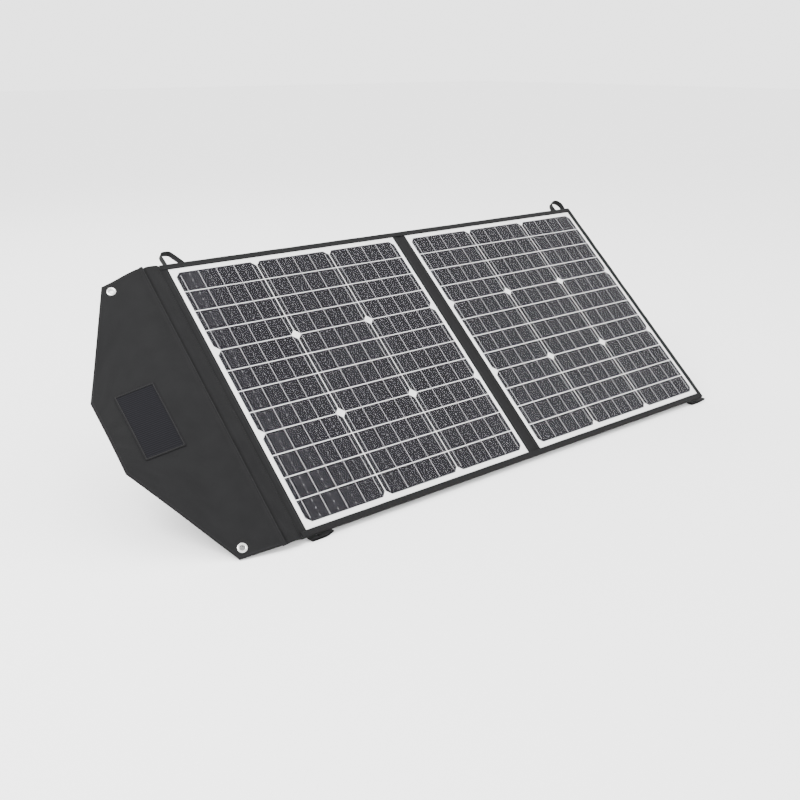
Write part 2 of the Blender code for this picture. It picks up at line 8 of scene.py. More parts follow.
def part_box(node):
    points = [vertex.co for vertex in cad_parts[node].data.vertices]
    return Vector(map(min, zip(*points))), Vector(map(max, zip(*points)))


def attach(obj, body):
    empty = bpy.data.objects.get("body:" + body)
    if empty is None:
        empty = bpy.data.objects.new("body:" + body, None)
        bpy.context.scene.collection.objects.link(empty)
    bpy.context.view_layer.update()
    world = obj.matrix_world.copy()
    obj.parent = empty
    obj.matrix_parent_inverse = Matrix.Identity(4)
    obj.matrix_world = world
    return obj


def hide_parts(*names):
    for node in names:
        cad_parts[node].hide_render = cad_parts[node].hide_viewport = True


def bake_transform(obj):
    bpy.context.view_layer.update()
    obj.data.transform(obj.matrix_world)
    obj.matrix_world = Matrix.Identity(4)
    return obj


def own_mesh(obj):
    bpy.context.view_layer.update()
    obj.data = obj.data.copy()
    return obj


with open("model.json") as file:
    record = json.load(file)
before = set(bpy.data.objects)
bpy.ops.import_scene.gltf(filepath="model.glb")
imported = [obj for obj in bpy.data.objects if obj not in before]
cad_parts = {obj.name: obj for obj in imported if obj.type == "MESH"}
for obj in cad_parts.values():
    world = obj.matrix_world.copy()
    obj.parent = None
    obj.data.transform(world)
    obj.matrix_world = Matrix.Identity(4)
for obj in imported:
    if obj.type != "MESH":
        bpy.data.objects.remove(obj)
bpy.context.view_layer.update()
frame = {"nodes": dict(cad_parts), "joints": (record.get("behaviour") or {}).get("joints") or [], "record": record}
nodes = frame["nodes"]
joints = {joint["name"]: joint for joint in frame["joints"]}
mounts = {mount["name"]: mount for mount in frame["record"]["mounts"]}


class Plane:
    # a flat part's own axes: x along, y up the slope, z out of the lit face
    def __init__(self, origin, along, up):
        self.origin = Vector(origin)
        self.along = Vector(along).normalized()
        self.up = Vector(up).normalized()
        self.out = self.along.cross(self.up).normalized()

    def put(self, x, y, z=0.0):
        return self.origin + self.along * x + self.up * y + self.out * z

    def turn(self, x, y, z=0.0):
        return self.along * x + self.up * y + self.out * z

    def find(self, point):
        gap = Vector(point) - self.origin
        return Vector((gap.dot(self.along), gap.dot(self.up), gap.dot(self.out)))

    def matrix(self):
        turned = Matrix((self.along, self.up, self.out)).transposed().to_4x4()
        turned.translation = self.origin
        return turned

    def span(self, *names):
        corners = [self.find(vertex.co) for name in names for vertex in nodes[name].data.vertices]
        low = Vector([min(corner[i] for corner in corners) for i in range(3)])
        high = Vector([max(corner[i] for corner in corners) for i in range(3)])
        return low, high


slope = -Vector(joints["centre_fold"]["axis"])
panel = Plane(joints["centre_fold"]["pos_m"], (1, 0, 0), slope)
panel.origin += panel.out * panel.span("left_clear_film")[1].z

flapOut = Vector(mounts["flap_patch_face"]["axis"])
flap = Plane(joints["flap_fold"]["pos_m"], slope.cross(flapOut), slope)

bodyLow, bodyHigh = panel.span("left_top_binding", "left_bottom_binding")
films = {side: panel.span(f"{side}_clear_film") for side in ("left", "right")}
edgeHalf = bodyHigh.y
hingeEdge = bodyHigh.x
leftEdge = bodyLow.x
rightEdge = panel.span("right_side_binding")[1].x
coverBack = panel.span("left_rear_cover")[0].z
bindingBack = bodyLow.z
filmHalf = films["left"][1].y
innerFold = panel.find(joints["spine_fold"]["pos_m"])
outerFold = panel.find(joints["flap_fold"]["pos_m"])
print("frame read: panel", round(rightEdge - leftEdge, 4), "by", round(2 * edgeHalf, 4))


def deselectAll():
    for obj in bpy.context.selected_objects:
        obj.select_set(False)


def takeActive(name):
    obj = bpy.context.active_object
    obj.name = name
    obj.data.name = name
    return obj


def pickOnly(obj):
    deselectAll()
    obj.select_set(True)
    bpy.context.view_layer.objects.active = obj


def applyModifiers(obj):
    pickOnly(obj)
    for modifier in list(obj.modifiers):
        bpy.ops.object.modifier_apply(modifier=modifier.name)


def faceOutwards():
    bpy.ops.object.mode_set(mode="EDIT")
    bpy.ops.mesh.select_all(action="SELECT")
    bpy.ops.mesh.normals_make_consistent(inside=False)
    bpy.ops.object.mode_set(mode="OBJECT")


def bevelEdges(width, segments):
    bpy.ops.object.mode_set(mode="EDIT")
    bpy.ops.mesh.select_all(action="SELECT")
    bpy.ops.mesh.bevel(offset=width, segments=segments, affect="EDGES")
    bpy.ops.object.mode_set(mode="OBJECT")


def copied(obj, place):
    # another one of the same, with its own mesh
    twin = obj.copy()
    twin.data = obj.data.copy()
    bpy.context.collection.objects.link(twin)
    twin.location = place
    return twin


def joined(pieces, name):
    deselectAll()
    for piece in pieces:
        piece.select_set(True)
    bpy.context.view_layer.objects.active = pieces[0]
    bpy.ops.object.join()
    bpy.ops.object.transform_apply(location=True, rotation=True, scale=True)
    return takeActive(name)


def placeIn(obj, plane):
    # a piece modelled about the origin goes to its plane, with its place in its mesh
    pickOnly(obj)
    obj.matrix_world = plane.matrix() @ obj.matrix_world
    bpy.ops.object.transform_apply(location=True, rotation=True, scale=True)
    return obj


def finish(obj, body, finishName, replaced=(), angle=40):
    pickOnly(obj)
    bpy.ops.object.shade_smooth_by_angle(angle=radians(angle))
    obj.data.materials.clear()
    obj.data.materials.append(finishes[finishName][0])
    if replaced:
        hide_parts(*replaced)
    if body:
        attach(obj, body)
    return obj


def mix(low, high, share):
    return low + (high - low) * share


def ease(value, low=0.0, high=1.0):
    share = min(1.0, max(0.0, (value - low) / (high - low)))
    return share * share * (3 - 2 * share)


def ripple(x, y, wavelength, seed=0.0):
    return noise.noise(Vector((x / wavelength + seed, y / wavelength - seed, 0.37 * seed)))


class Path:
    # points joined by straight runs, read by the share of their length
    def __init__(self, points):
        self.points = [Vector(point) for point in points]
        self.lengths = [0.0]
        for start, end in zip(self.points, self.points[1:]):
            self.lengths.append(self.lengths[-1] + (end - start).length)

    def at(self, share):
        reach = share * self.lengths[-1]
        for index in range(len(self.points) - 1):
            if reach <= self.lengths[index + 1] or index == len(self.points) - 2:
                start, end = self.points[index], self.points[index + 1]
                part = (reach - self.lengths[index]) / max(1e-9, (end - start).length)
                return start + (end - start) * part

    def heading(self, share):
        step = 0.006
        return (self.at(min(1, share + step)) - self.at(max(0, share - step))).normalized()


def smoothed(points, steps=8):
    # a rounder run through the same points
    points = [Vector(point) for point in points]
    run = []
    for index in range(len(points) - 1):
        before = points[max(0, index - 1)]
        start, end = points[index], points[index + 1]
        after = points[min(len(points) - 1, index + 2)]
        for step in range(steps):
            share = step / steps
            square, cube = share * share, share ** 3
            run.append(0.5 * (2 * start + (end - before) * share
                              + (2 * before - 5 * start + 4 * end - after) * square
                              + (3 * start - before - 3 * end + after) * cube))
    return run + [points[-1]]


def clothPiece(name, columns, rows, place, size, rim=0.0003):
    # a closed sheet; place takes a share across, a share along and the layer, 0 or 1
    deselectAll()
    bpy.ops.mesh.primitive_grid_add(x_subdivisions=columns, y_subdivisions=rows, size=1)
    obj = takeActive(name)
    bpy.ops.object.mode_set(mode="EDIT")
    bpy.ops.mesh.select_all(action="SELECT")
    bpy.ops.mesh.extrude_region_move(TRANSFORM_OT_translate={"value": (0, 0, 1)})
    bpy.ops.object.mode_set(mode="OBJECT")
    mesh = obj.data
    shares = [(v.co.x + 0.5, v.co.y + 0.5, round(v.co.z)) for v in mesh.vertices]
    layer = mesh.uv_layers[0].data
    for loop in mesh.loops:
        across, along, _ = shares[loop.vertex_index]
        layer[loop.index].uv = (across * size[0], along * size[1])
    for vertex, share in zip(mesh.vertices, shares):
        vertex.co = place(*share)
    faceOutwards()
    if rim:
        edge = obj.modifiers.new("Rounded rim", "BEVEL")
        edge.width = rim
        edge.segments = 2
        edge.limit_method = "ANGLE"
        edge.angle_limit = radians(50)
        applyModifiers(obj)
    return obj


def tapePiece(name, path, side, width, thickness, rows, columns=4):
    # webbing whose width runs along side, laid on a path
    def place(across, along, layer):
        face = path.heading(along).cross(side).normalized()
        return path.at(along) + side * ((across - 0.5) * width) + face * ((layer - 0.5) * thickness)

    return clothPiece(name, columns, rows, place, (width, path.lengths[-1]), 0.25 * thickness)


foldSizes = {
    "turn": 0.0012,          # radius of the bend over the edge
    "columns": 22,
    "rowPitch": 0.004,
    "swayPitch": 0.045,      # length of the side-to-side waves
    "liftPitch": 0.06,       # length of the waves in its front leg
    "rim": 0.0002,
}


def edgeTape(name, plane, edge, run, front, back, wall, reach, sway, seed, upright=False):
    # tape folded round an edge, from its front leg over the edge to its back leg
    turn = foldSizes["turn"]
    half = wall / 2
    mirror = -1 if edge < 0 else 1
    outline = [
        (edge - reach[0], front - half), (edge - turn, front - half),
        (edge - half - 0.3 * turn, front - half - 0.25 * turn), (edge - half, front - turn),
        (edge - half, back + turn), (edge - half - 0.3 * turn, back + half + 0.25 * turn),
        (edge - turn, back + half), (edge - reach[1], back + half),
    ]
    if mirror < 0:
        outline = [(2 * edge - x, y) for x, y in outline]
    profile = Path([(x, y, 0) for x, y in outline])

    def place(across, along, layer):
        point = profile.at(across)
        heading = profile.heading(across)
        face = Vector((-heading.y, heading.x, 0)) * -mirror
        x = mix(run[0], run[1], along)
        point = point - face * ((0.5 - layer) * wall * 0.9)
        point.x += mirror * sway * ripple(x, 0, foldSizes["swayPitch"], seed)
        atEdge = ease(abs(point.x), abs(edge) - 0.014, abs(edge))
        point.y += 0.35 * sway * ripple(x, 1.0, foldSizes["liftPitch"], seed + 3) * atEdge
        return plane.put(point.x, x, point.y) if upright else plane.put(x, point.x, point.y)

    length = abs(run[1] - run[0])
    rows = int(length / foldSizes["rowPitch"])
    return clothPiece(name, foldSizes["columns"], rows, place, (profile.lengths[-1], length),
                      foldSizes["rim"])


stitchSizes = {"pitch": 0.0036, "length": 0.0027, "radius": 0.00024, "flatness": 1.3}


def sew(name, body, lines, pitch=stitchSizes["pitch"], length=stitchSizes["length"]):
    # rows of short threads; one thread is modelled and repeated
    deselectAll()
    bpy.ops.mesh.primitive_uv_sphere_add(segments=6, ring_count=4, radius=0.5)
    obj = takeActive(name)
    thread = [vertex.co.copy() for vertex in obj.data.vertices]
    rounds = [tuple(face.vertices) for face in obj.data.polygons]
    thick = 2 * stitchSizes["radius"]
    wide = thick * stitchSizes["flatness"]
    points, faces = [], []
    for line, out in lines:
        path = Path(line)
        count = max(1, int(path.lengths[-1] / pitch))
        for index in range(count):
            share = (index + 0.5) / count
            heading = path.heading(share)
            across = out.cross(heading).normalized()
            centre = path.at(share)
            base = len(points)
            points += [centre + heading * (v.z * length) + across * (v.x * wide) + out * (v.y * thick)
                       for v in thread]
            faces += [tuple(base + corner for corner in face) for face in rounds]
    mesh = bpy.data.meshes.new(name)
    mesh.from_pydata(points, [], faces)
    mesh.update()
    obj.data = mesh
    faceOutwards()
    return finish(obj, body, "thread")


def seamLine(plane, start, end, step=0.02):
    # a straight run for stitches, and the way that its threads face
    start, end = Vector(start), Vector(end)
    count = max(2, int((end - start).length / step))
    return [plane.put(*mix(start, end, index / count)) for index in range(count + 1)], plane.out


def roundedBox(name, plane, low, high, radius, segments=3):
    deselectAll()
    bpy.ops.mesh.primitive_cube_add(size=1, location=(low + high) / 2)
    obj = takeActive(name)
    obj.scale = high - low
    bpy.ops.object.transform_apply(location=True, rotation=False, scale=True)
    bevelEdges(radius, segments)
    return placeIn(obj, plane)


class Wire:
    # a socket's output that can be used in sums
    def __init__(self, socket):
        self.socket = socket
        self.tree = socket.id_data

    def make(self, kind, settings=None, inputs=None, output=0):
        node = self.tree.nodes.new("ShaderNode" + kind)
        for key, value in (settings or {}).items():
            setattr(node, key, value)
        for key, value in (inputs or {}).items():
            feed(node.inputs[key], value)
        return Wire(node.outputs[output])

    def maths(self, operation, *values):
        return self.make("Math", {"operation": operation}, dict(enumerate(values)))

    def __add__(self, other):
        return self.maths("ADD", self, other)

    def __sub__(self, other):
        return self.maths("SUBTRACT", self, other)

    def __mul__(self, other):
        return self.maths("MULTIPLY", self, other)

    def __rsub__(self, other):
        return self.maths("SUBTRACT", other, self)

    def __gt__(self, other):
        return self.maths("GREATER_THAN", self, other)

    def __lt__(self, other):
        return self.maths("LESS_THAN", self, other)

    __radd__ = __add__
    __rmul__ = __mul__

    def absolute(self):
        return self.maths("ABSOLUTE", self)

    def waves(self, pitch):
        return self.maths("SINE", self * (2 * pi / pitch))

    def wrapped(self, length):
        return self.maths("WRAP", self, length, 0.0)

    def steps(self, low, high, start=0.0, end=1.0):
        return self.make("MapRange", {"clamp": True}, {0: self, 1: low, 2: high, 3: start, 4: end})

    def over(self, under, top):
        # a colour laid over another where this value is 1
        under, top = [colour if isinstance(colour, Wire) else (*colour, 1) for colour in (under, top)]
        return self.make("Mix", {"data_type": "RGBA"}, {0: self, 6: under, 7: top}, 2)

    def noise(self, scale, detail=2.0, roughness=0.5):
        return self.make("TexNoise", {}, {"Vector": self, "Scale": scale, "Detail": detail,
                                          "Roughness": roughness})

    def along(self, direction, start):
        reach = self.make("VectorMath", {"operation": "DOT_PRODUCT"}, {0: self, 1: tuple(direction)}, 1)
        return reach - start.dot(direction)

    def axis(self, letter):
        return self.make("SeparateXYZ", {}, {0: self}, "XYZ".index(letter))


def feed(socket, value):
    if isinstance(value, Wire):
        socket.id_data.links.new(value.socket, socket)
    else:
        socket.default_value = value


def newFinish(name, fixed, coordinates="UV"):
    material = bpy.data.materials.new(name)
    material.use_nodes = True
    tree = material.node_tree
    shader = tree.nodes["Principled BSDF"]
    for key, value in fixed.items():
        shader.inputs[key].default_value = value
    start = Wire(tree.nodes.new("ShaderNodeTexCoord").outputs[coordinates])
    return material, shader, start


def paint(shader, colour, roughness):
    feed(shader.inputs["Base Color"], colour)
    feed(shader.inputs["Roughness"], roughness)


def bump(shader, height, distance, strength=1.0):
    wire = height.make("Bump", {}, {"Strength": strength, "Distance": distance, "Height": height})
    feed(shader.inputs["Normal"], wire)


def wovenFinish(name, tones, thread, coordinates="UV", roughness=(0.60, 0.78), ribs=0.0):
    # two sets of threads that pass over each other; ribs is the pitch of a corded tape
    fixed = {"Sheen Weight": 0.01, "Sheen Roughness": 0.45, "Specular IOR Level": 0.06}
    material, shader, start = newFinish(name, fixed, coordinates)
    x, y = start.axis("X"), start.axis("Y")
    warp = x.waves(thread)
    weft = y.waves(thread)
    weave = warp * weft * 0.5 + 0.5
    if ribs:
        weave = y.waves(ribs) * 0.5 + 0.5 + 0.25 * weave
    cloudy = start.noise(28.0, 3.0)
    fuzz = start.noise(900.0, 2.0)
    tone = (weave * 0.35 + cloudy * 0.35 + fuzz * 0.30).steps(0.2, 0.8)
    paint(shader, tone.over(*tones), (cloudy * 0.6 + fuzz * 0.4).steps(0.2, 0.8, *roughness))
    bump(shader, weave + 0.4 * fuzz, 0.00025 if ribs else 0.00014, 0.6)
    return material


def plasticFinish(name, tones, roughness):
    material, shader, start = newFinish(name, {"Specular IOR Level": 0.12}, "Object")
    grain = start.noise(1400.0, 2.0)
    wear = start.noise(60.0, 3.0)
    paint(shader, (grain * 0.5 + wear * 0.5).steps(0.3, 0.7).over(*tones),
          wear.steps(0.3, 0.7, roughness, roughness + 0.15))
    bump(shader, grain, 0.00008, 0.5)
    return material


cellLook = {
    "pitch": 0.15875,            # cell to cell across a module
    "busbar": 0.03505,           # ribbon to ribbon
    "dotRows": 0.0137,           # solder dots along a line
    "stripPitch": 0.0410875,
    "fingerPitch": 0.0016,
    "lineHalf": 0.00075,         # half width of the faint line between two ribbons
    "dotHalf": 0.0013,
    "streaks": (290.0, 160.0),   # grain across and along, per metre
    # painted glints: light specks on the cells that stand in for glints off the front film's dimples, across and
    # along, per metre
    "paintedGlints": (300.0, 230.0),
    "tones": ((0.0030, 0.0027, 0.0038), (0.0200, 0.0190, 0.0235)),
}


def drawnGrain(x, y, scale, layer=0.0, detail=1.0, roughness=0.5):
    # noise drawn out along the panel
    place = x.make("CombineXYZ", {}, {0: x * scale[0], 1: y * scale[1], 2: layer})
    return place.noise(1.0, detail, roughness)


def cellFinish(side):
    material, shader, start = newFinish(f"{side} silicon cells", {"Specular IOR Level": 0.08}, "Object")
    low, high = films[side]
    middle = panel.put((low.x + high.x) / 2, 0, 0)
    x = start.along(panel.along, middle)
    y = start.along(panel.up, middle)
    pitch, busbar, dotRows = cellLook["pitch"], cellLook["busbar"], cellLook["dotRows"]
    inCell = (x + 1.5 * pitch).wrapped(pitch) - 0.5 * pitch
    between = (inCell + 4.0 * busbar).wrapped(busbar) - 0.5 * busbar
    inside = inCell.absolute() < 2.05 * busbar
    padLine = (between.absolute() < cellLook["lineHalf"]) * inside
    row = (y + 6 * cellLook["stripPitch"]).wrapped(dotRows) - 0.5 * dotRows
    pads = padLine * (row.absolute() < cellLook["dotHalf"])
    fingers = y.waves(cellLook["fingerPitch"]) * 0.5 + 0.5
    grain = drawnGrain(x, y, cellLook["streaks"])
    cloudy = start.noise(9.0, 2.0)
    paintedGlints = drawnGrain(x, y, cellLook["paintedGlints"], 5.0, 0.0)
    colour = (grain * 0.72 + cloudy * 0.16 + fingers * 0.12).steps(0.32, 0.76).over(*cellLook["tones"])
    # painted glints: light grey specks laid over the cells' colour stand in for the glints off the front film's
    # dimples
    colour = (paintedGlints.steps(0.68, 0.82) * 0.030).over(colour, (0.45, 0.45, 0.47))
    colour = (padLine * 0.035).over(colour, (0.50, 0.50, 0.53))
    colour = (pads * 0.34).over(colour, (0.55, 0.55, 0.57))
    paint(shader, colour, grain.steps(0.3, 0.7, 0.34, 0.52))
    return material


def filmFinish():
    # the clear front film only veils the cells a little
    fixed = {"Specular IOR Level": 0.2, "Alpha": 0.05}
    material, shader, start = newFinish("matt clear film", fixed, "Object")
    haze = start.noise(30.0, 2.0)
    paint(shader, haze.over((0.030, 0.030, 0.034), (0.050, 0.050, 0.055)), haze * 0.2 + 0.25)
    return material


def whiteFinish():
    material, shader, start = newFinish("white backsheet", {"Specular IOR Level": 0.4}, "Object")
    cloudy = start.noise(14.0, 3.0)
    paint(shader, cloudy.over((0.90, 0.90, 0.90), (0.95, 0.95, 0.95)), cloudy * 0.1 + 0.42)
    return material


def ribbonFinish():
    material, shader, start = newFinish("tinned ribbon", {"Metallic": 0.35}, "Object")
    y = start.along(panel.up, panel.origin)
    x = start.along(panel.along, panel.origin)
    grain = drawnGrain(x, y, (700.0, 420.0), 0.0, 2.0, 0.7)
    paint(shader, grain.steps(0.36, 0.62).over((0.30, 0.30, 0.32), (0.80, 0.80, 0.82)),
          grain * 0.2 + 0.30)
    bump(shader, grain, 0.0001, 0.3)
    return material


def metalFinish():
    material, shader, start = newFinish("bright nickel", {"Metallic": 1.0}, "Object")
    wear = start.noise(420.0, 3.0)
    paint(shader, wear.over((0.50, 0.50, 0.49), (0.72, 0.72, 0.71)), wear * 0.16 + 0.12)
    bump(shader, wear, 0.00003, 0.3)
    return material


def hookFinish(name, tones):
    # rows of tiny hooks across the tape
    material, shader, start = newFinish(name, {"Specular IOR Level": 0.06})
    x, y = start.axis("X"), start.axis("Y")
    rows = y.waves(0.0034) * 0.5 + 0.5
    hooks = x.waves(0.0016) * 0.5 + 0.5
    fuzz = start.noise(1100.0, 2.0)
    height = rows * 0.6 + rows * hooks * 0.3 + fuzz * 0.3
    paint(shader, (rows * 0.6 + fuzz * 0.4).steps(0.15, 0.9).over(*tones), fuzz * 0.2 + 0.7)
    bump(shader, height, 0.0004, 0.8)
    return material


finishes = {
    "fabric": (wovenFinish("black woven fabric", ((0.004, 0.004, 0.0042), (0.013, 0.013, 0.0135)), 0.0011),
               "black_fabric"),
    "fabricSolid": (wovenFinish("black woven fabric on boards", ((0.004, 0.004, 0.0042),
                                (0.012, 0.012, 0.0125)), 0.0011, "Object"), "black_fabric"),
    "tape": (wovenFinish("black ribbed tape", ((0.003, 0.003, 0.0032), (0.013, 0.013, 0.0135)), 0.0008,
                         ribs=0.0022), "binding"),
    "webbing": (wovenFinish("black webbing", ((0.003, 0.003, 0.0032), (0.015, 0.015, 0.0155)), 0.0016,
                            ribs=0.0012, roughness=(0.50, 0.70)), "webbing"),
    "thread": (plasticFinish("black thread", ((0.010, 0.010, 0.011), (0.030, 0.030, 0.031)), 0.5),
               "webbing"),
    "hooks": (hookFinish("hook tape", ((0.004, 0.004, 0.0048), (0.010, 0.010, 0.0120))), "hook_and_loop"),
    "loops": (hookFinish("loop tape", ((0.004, 0.004, 0.0046), (0.014, 0.014, 0.016))), "hook_and_loop"),
    "metal": (metalFinish(), "eyelet_metal"),
    "plastic": (plasticFinish("black plastic", ((0.007, 0.007, 0.0074), (0.016, 0.016, 0.0165)), 0.46),
                "black_plastic"),
    "rubber": (plasticFinish("foot rubber", ((0.009, 0.009, 0.009), (0.020, 0.020, 0.0195)), 0.62),
               "foot_rubber"),
    "board": (plasticFinish("stiffener board", ((0.09, 0.09, 0.09), (0.14, 0.14, 0.14)), 0.55),
              "stiffener"),
    "film": (filmFinish(), "clear_film"),
    "white": (whiteFinish(), "white_backsheet"),
    "ribbon": (ribbonFinish(), "silicon_cell"),
    "leftCells": (cellFinish("left"), "silicon_cell"),
    "rightCells": (cellFinish("right"), "silicon_cell"),
}

for side in ("left", "right"):
    carried = {f"{side}_clear_film": "film", f"{side}_white_backsheet": "white",
               f"{side}_stiffener_board": "board", f"{side}_front_border": "fabricSolid",
               f"{side}_kickstand_foot": "rubber"}
    carried |= {f"{side}_cell_string_{number}": f"{side}Cells" for number in (1, 2, 3)}
    for name, finishName in carried.items():
        nodes[name].data.materials.clear()
        nodes[name].data.materials.append(finishes[finishName][0])
print("finishes made:", len(finishes))

ribbonSizes = {
    "width": 0.0007,
    "thickness": 0.00012,
    "pitch": cellLook["busbar"],
    "lift": 0.00008,             # middle of a ribbon above the cells
    "inset": 0.0016,             # from the cell's edge to the ribbon's end
    "outerInset": 0.0064,        # the same at the clipped corners
}


def buildRibbons(side):
    # five tinned ribbons down each string of cells, one modelled and copied
    top = panel.span(f"{side}_cell_string_1")[1].z
    deselectAll()
    bpy.ops.mesh.primitive_cube_add(size=1)
    first = takeActive(f"{side}_ribbon")
    made = []
    for number in (1, 2, 3):
        low, high = panel.span(f"{side}_cell_string_{number}")
        for step in (-2, -1, 0, 1, 2):
            middle = (low.x + high.x) / 2 + step * ribbonSizes["pitch"]
            end = ribbonSizes["outerInset" if abs(step) == 2 else "inset"]
            ribbon = copied(first, (middle, 0, top + ribbonSizes["lift"]))
            ribbon.scale = (ribbonSizes["width"], high.y - low.y - 2 * end, ribbonSizes["thickness"])
            made.append(ribbon)
    bpy.data.objects.remove(first, do_unlink=True)
    ribbons = joined(made, f"{side}_cell_ribbons")
    finish(placeIn(ribbons, panel), f"{side}_panel", "ribbon")


for side in ("left", "right"):
    buildRibbons(side)
print("cell ribbons laid")

stripSizes = {
    "gap": 0.0004,
    "edgeLevel": -0.0005,
    "dip": 0.0016,               # how far the front fabric sinks along the fold
    "thickness": 0.0009,
    "waves": 0.00022,
    "backMiddle": -0.0037,       # level of the fabric behind, between the boards
    "backThickness": 0.0008,
    "backWaves": 0.00015,
    "seam": 0.68,                # share of the half width where the stitches run
    "threadDepth": 0.00045,
}


def buildCentreStrip():
    # front fabric between the two laminates, which dips along the fold, and the fabric behind it
    reach = -films["left"][1].x - stripSizes["gap"]
    half = filmHalf + 0.0004

    def front(across, along, layer):
        x = mix(-reach, reach, across)
        y = mix(-half, half, along)
        dip = stripSizes["dip"] * (1 - abs(x / reach) ** 1.6)
        wave = stripSizes["waves"] * ripple(x, y, 0.05, 2.0)
        z = stripSizes["edgeLevel"] - dip + wave - (1 - layer) * stripSizes["thickness"]
        return panel.put(x, y, z)

    width, length = 2 * reach, 2 * half
    strip = clothPiece("centre_hinge_fabric", 24, 130, front, (width, length))
    finish(strip, None, "fabric", ["centre_hinge_strip"])
    panel.put(hingeEdge + 0.0003, 0, 0)
    panel.put(-hingeEdge - 0.0003, 0, 0)
    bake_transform(strip)

    side = -hingeEdge
    deep = coverBack + 0.0004
    middle = stripSizes["backMiddle"]
    right = [(0.3 * side, middle), (0.72 * side, mix(deep, middle, 0.65)), (side, deep + 0.0004),
             (side + 0.0008, deep)]
    outline = [(-x, y) for x, y in reversed(right)] + right
    hollow = Path(smoothed([(x, y, 0) for x, y in outline], 4))

    def back(across, along, layer):
        point = hollow.at(across)
        heading = hollow.heading(across)
        face = Vector((-heading.y, heading.x, 0))
        y = mix(-half, half, along)
        point = point + face * ((layer - 0.5) * stripSizes["backThickness"]
                                + stripSizes["backWaves"] * ripple(0, y, 0.03, 5.0))
        return panel.put(point.x, y, point.y)

    rear = clothPiece("centre_hinge_back_fabric", 28, 130, back, (hollow.lengths[-1], length), 0.0002)
    finish(rear, None, "fabric")
    panel.put(hingeEdge + 0.0003, 0, 0)
    panel.put(-hingeEdge - 0.0003, 0, 0)
    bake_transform(rear)

    level = stripSizes["edgeLevel"] - stripSizes["threadDepth"]
    for number, body, sign in ((1, "left_panel", -1), (2, "right_panel", 1)):
        x = sign * reach * stripSizes["seam"]
        line = [panel.put(x, mix(-half, half, step / 60), level) for step in range(61)]
        sew(f"centre_hinge_stitches_{number}", body, [(line, panel.out)])


buildCentreStrip()

tapeSizes = {
    "wall": 0.0010,
    "frontReach": 0.0106,        # how far the front leg lies on the panel
    "backReach": 0.0120,
    "sideBackReach": 0.0125,
    "sway": 0.0005,
    "seam": 0.0018,              # from the tape's edge to its stitches
    "end": 0.003,                # bare tape past the last stitch
}


def buildBindings():
    # ribbed tape folded over the top and bottom edges, running across the fold
    ends = (leftEdge, rightEdge - 0.0020)
    reach = (tapeSizes["frontReach"], tapeSizes["backReach"])
    runs = {"left_panel": (ends[0] + tapeSizes["end"], hingeEdge - 0.001),
            "right_panel": (-hingeEdge + 0.001, ends[1] - tapeSizes["end"])}
    for label, sign in (("top", 1), ("bottom", -1)):
        tape = edgeTape(f"{label}_edge_tape", panel, sign * edgeHalf, ends, 0.0003, bindingBack,
                        tapeSizes["wall"], reach, tapeSizes["sway"] * 0.6, 1.0 + sign)
        finish(tape, None, "tape", [f"left_{label}_binding", f"right_{label}_binding"])
        panel.put(hingeEdge, 0, 0)
        panel.put(-hingeEdge, 0, 0)
        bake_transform(tape)
        inner, rear = [sign * (edgeHalf - leg + tapeSizes["seam"]) for leg in reach]
        for body, (start, end) in runs.items():
            sew(f"{label}_edge_stitches_{body}", body, [
                seamLine(panel, (start, inner, 0.00035), (end, inner, 0.00035)),
                seamLine(panel, (start, rear, bindingBack), (end, rear, bindingBack))])

    filmEdge = films["right"][1].x
    back = bindingBack - 0.0002
    side = edgeTape("right_edge_tape", panel, rightEdge, (-edgeHalf + 0.0015, edgeHalf - 0.0015), 0.0004,
                    back, tapeSizes["wall"], (rightEdge - filmEdge - 0.0004, tapeSizes["sideBackReach"]),
                    tapeSizes["sway"] * 2.2, 9.0, upright=True)
    finish(side, "right_panel", "tape", ["right_side_binding"])
    half = edgeHalf - 0.004
    inner = filmEdge + 0.0022
    rear = rightEdge - tapeSizes["sideBackReach"] + tapeSizes["seam"]
    sew("right_edge_stitches", "right_panel", [
        seamLine(panel, (inner, -half, 0.0006), (inner, half, 0.0006)),
        seamLine(panel, (rear, -half, back), (rear, half, back))])


buildBindings()
print("centre strip and edge tapes made")

gussetSizes = {
    "frontLevel": -0.0006,
    "puff": 0.0016,
    "thin": 0.0010,              # thickness on the laminate's side of the inner fold
    "thick": 0.0026,
    "overlap": 0.0002,           # how far it stops short of the outer fold
    "crease": 0.0016,
    "creaseReach": 0.0042,
    "wrinkles": (0.0009, 0.0020),
    "groove": 0.0024,            # where it sinks under the flap's ridge
    "grooveReach": (0.0052, 0.0105),
}


